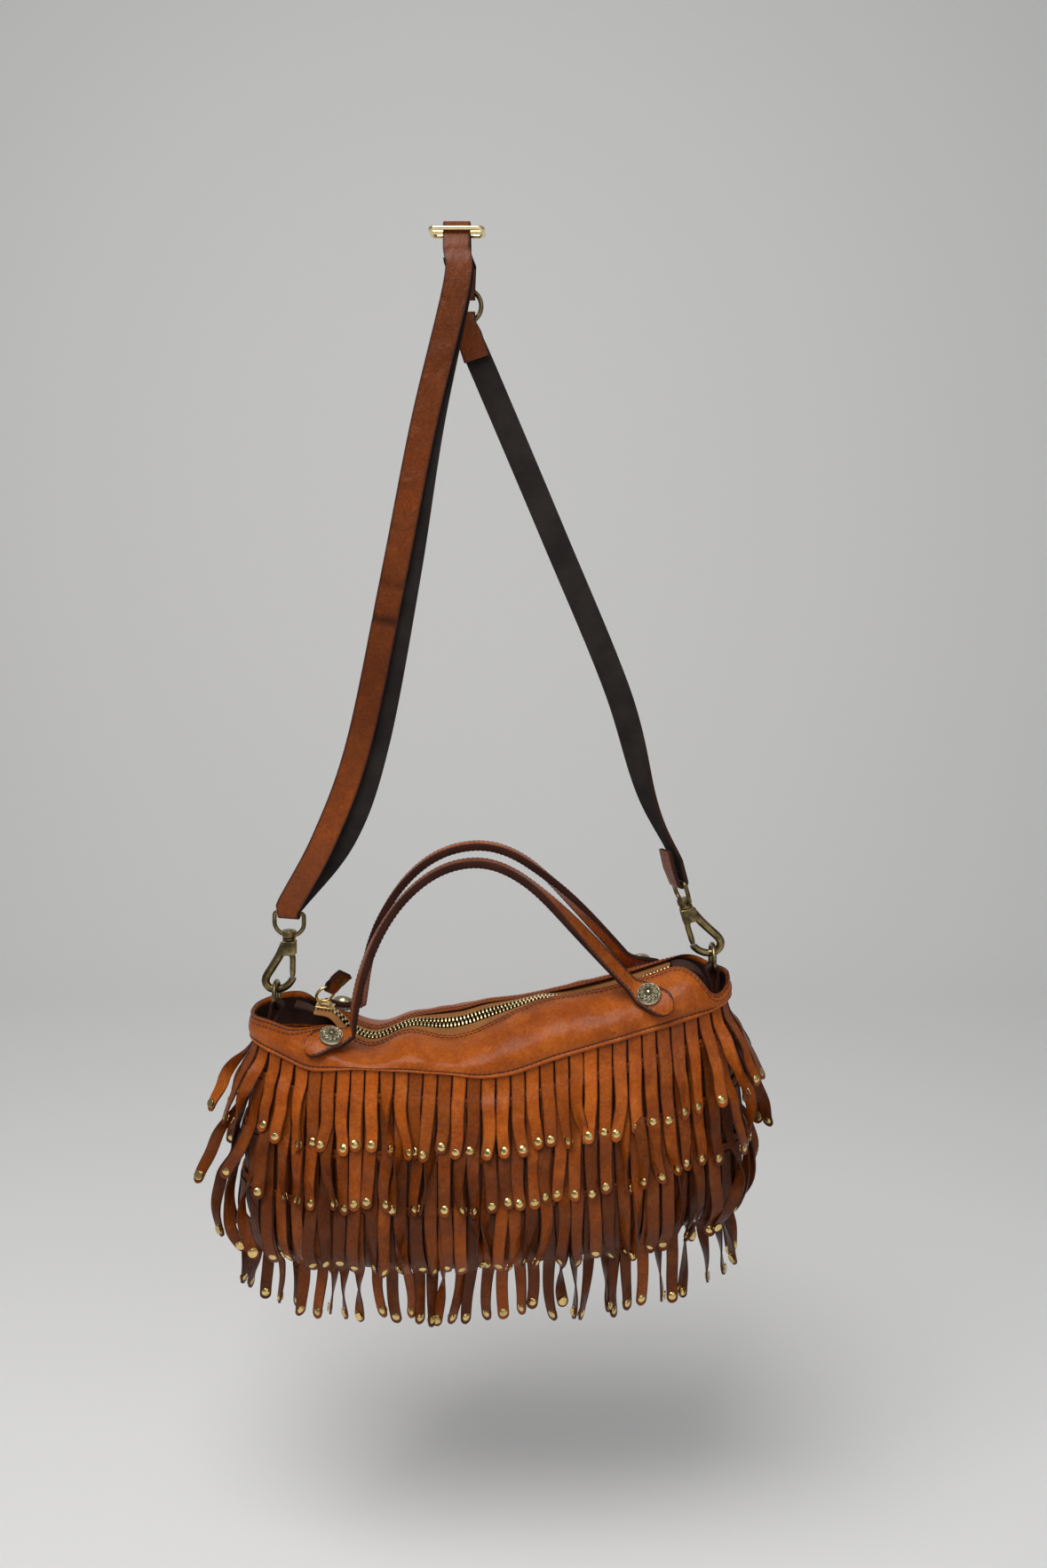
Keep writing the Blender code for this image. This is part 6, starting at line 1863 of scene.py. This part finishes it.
def build_stage():
    """Floor with a curved backdrop, lights and camera."""
    stage = bpy.context.scene.bag_stage
    deselect()
    bpy.ops.mesh.primitive_grid_add(x_subdivisions=2, y_subdivisions=60, size=1.0)
    floor = bpy.context.object
    floor.name = "floor"
    bend = 0.45
    low = stage.floor_height
    far = stage.wall_place
    for vertex in floor.data.vertices:
        share = vertex.co.y + 0.5
        if share < 0.4:
            y, z = -2.2 + (far - bend + 2.2) * share / 0.4, low
        elif share < 0.7:
            angle = (share - 0.4) / 0.3 * math.pi / 2
            y, z = far - bend + bend * math.sin(angle), low + bend * (1 - math.cos(angle))
        else:
            y, z = far, low + bend + (share - 0.7) / 0.3 * 2.2
        vertex.co = (vertex.co.x * 5.0, y, z)
    floor.data.materials.append(surface("floor"))
    bpy.ops.object.shade_smooth()
    for name, place, aim, width, power in (
            ("key", (-0.35, -0.75, 0.95), (0.02, 0.0, -0.45), 1.1, stage.key_power),
            ("fill", (0.75, -1.25, 0.10), (0.02, 0.0, -0.50), 1.3, stage.fill_power)):
        deselect()
        bpy.ops.object.light_add(type="AREA", location=place)
        light = bpy.context.object
        light.name = name
        light.data.energy = power
        light.data.size = width
        way = Vector(aim) - Vector(place)
        light.rotation_euler = way.to_track_quat("-Z", "Y").to_euler()
    deselect()
    bpy.ops.object.camera_add(location=stage.camera_place,
                              rotation=(math.pi / 2 - stage.camera_down, 0.0, 0.0))
    camera = bpy.context.object
    camera.data.sensor_fit = "VERTICAL"
    camera.data.sensor_height = 36.0
    camera.data.lens = stage.camera_lens
    bpy.context.scene.camera = camera
    world = bpy.context.scene.world or bpy.data.worlds.new("World")
    bpy.context.scene.world = world
    world.use_nodes = True
    background = world.node_tree.nodes["Background"]
    background.inputs["Color"].default_value = (0.92, 0.95, 1.0, 1.0)
    background.inputs["Strength"].default_value = stage.world
    bpy.context.scene.view_settings.view_transform = "Standard"


# Add-on

class BagOperator:
    """What all the bag's operators share."""
    bl_options = {"REGISTER", "UNDO"}
    build = ()

    def execute(self, context):
        """Run the piece's builders."""
        for builder in self.build:
            builder()
        return {"FINISHED"}


def operator(name, label, text, *builders):
    """An operator class that models one group of pieces."""
    return type(f"BAG_OT_{name}", (BagOperator, bpy.types.Operator),
                {"bl_idname": f"bag.{name}", "bl_label": label, "__doc__": text,
                 "build": builders})


OPERATORS = (
    operator("body", "Body", "Model the bag's leather shell", build_body),
    operator("fringe", "Fringe", "Model the studded bands of fringe", build_fringe),
    operator("band", "Band", "Model the smooth stitched band round the top", build_band),
    operator("zip", "Zip", "Model the zip's tapes, teeth and end tabs", build_zip),
    operator("slider", "Slider", "Model the zip's slider and leather pull", build_slider),
    operator("handles", "Handles", "Model the two stitched handles", build_handles),
    operator("conchos", "Ornaments", "Model the four ornamental studs", build_conchos),
    operator("ends", "Ends", "Model the end loops and their rings", build_ends),
    operator("hooks", "Hooks", "Model the snap hooks and swivel eyes", build_hooks),
    operator("strap", "Strap", "Model both parts of the strap", build_main_strap,
             build_short_strap),
    operator("adjuster", "Adjuster", "Model the strap's slide and round ring", build_adjuster),
    operator("stage", "Stage", "Set up the floor, lights and camera", build_stage),
)


class BAG_PT_panel(bpy.types.Panel):
    """Lists the bag's pieces and settings."""
    bl_label = "Fringed bag"
    bl_idname = "BAG_PT_panel"
    bl_space_type = "VIEW_3D"
    bl_region_type = "UI"
    bl_category = "Bag"

    def draw(self, context):
        """Draw a button for each piece and every setting."""
        for kind in OPERATORS:
            self.layout.operator(kind.bl_idname)
        for group in (context.scene.bag_sizes, context.scene.bag_colours, context.scene.bag_stage):
            box = self.layout.box()
            for key in group.__annotations__:
                box.prop(group, key)


CLASSES = (BagSizes, BagColours, BagStage, *OPERATORS, BAG_PT_panel)


def register():
    """Register the classes and attach the settings to the scene."""
    for kind in CLASSES:
        bpy.utils.register_class(kind)
    bpy.types.Scene.bag_sizes = PointerProperty(type=BagSizes)
    bpy.types.Scene.bag_colours = PointerProperty(type=BagColours)
    bpy.types.Scene.bag_stage = PointerProperty(type=BagStage)


def unregister():
    """Remove the settings and the classes."""
    del bpy.types.Scene.bag_stage
    del bpy.types.Scene.bag_colours
    del bpy.types.Scene.bag_sizes
    for kind in reversed(CLASSES):
        bpy.utils.unregister_class(kind)


def main():
    """Model the whole bag and write its size."""
    register()
    bpy.ops.bag.body()
    bpy.ops.bag.fringe()
    bpy.ops.bag.band()
    bpy.ops.bag.zip()
    bpy.ops.bag.slider()
    bpy.ops.bag.handles()
    bpy.ops.bag.conchos()
    bpy.ops.bag.ends()
    bpy.ops.bag.hooks()
    bpy.ops.bag.strap()
    bpy.ops.bag.adjuster()
    bpy.ops.bag.stage()
    bpy.context.view_layer.update()


if __name__ == "__main__":
    main()
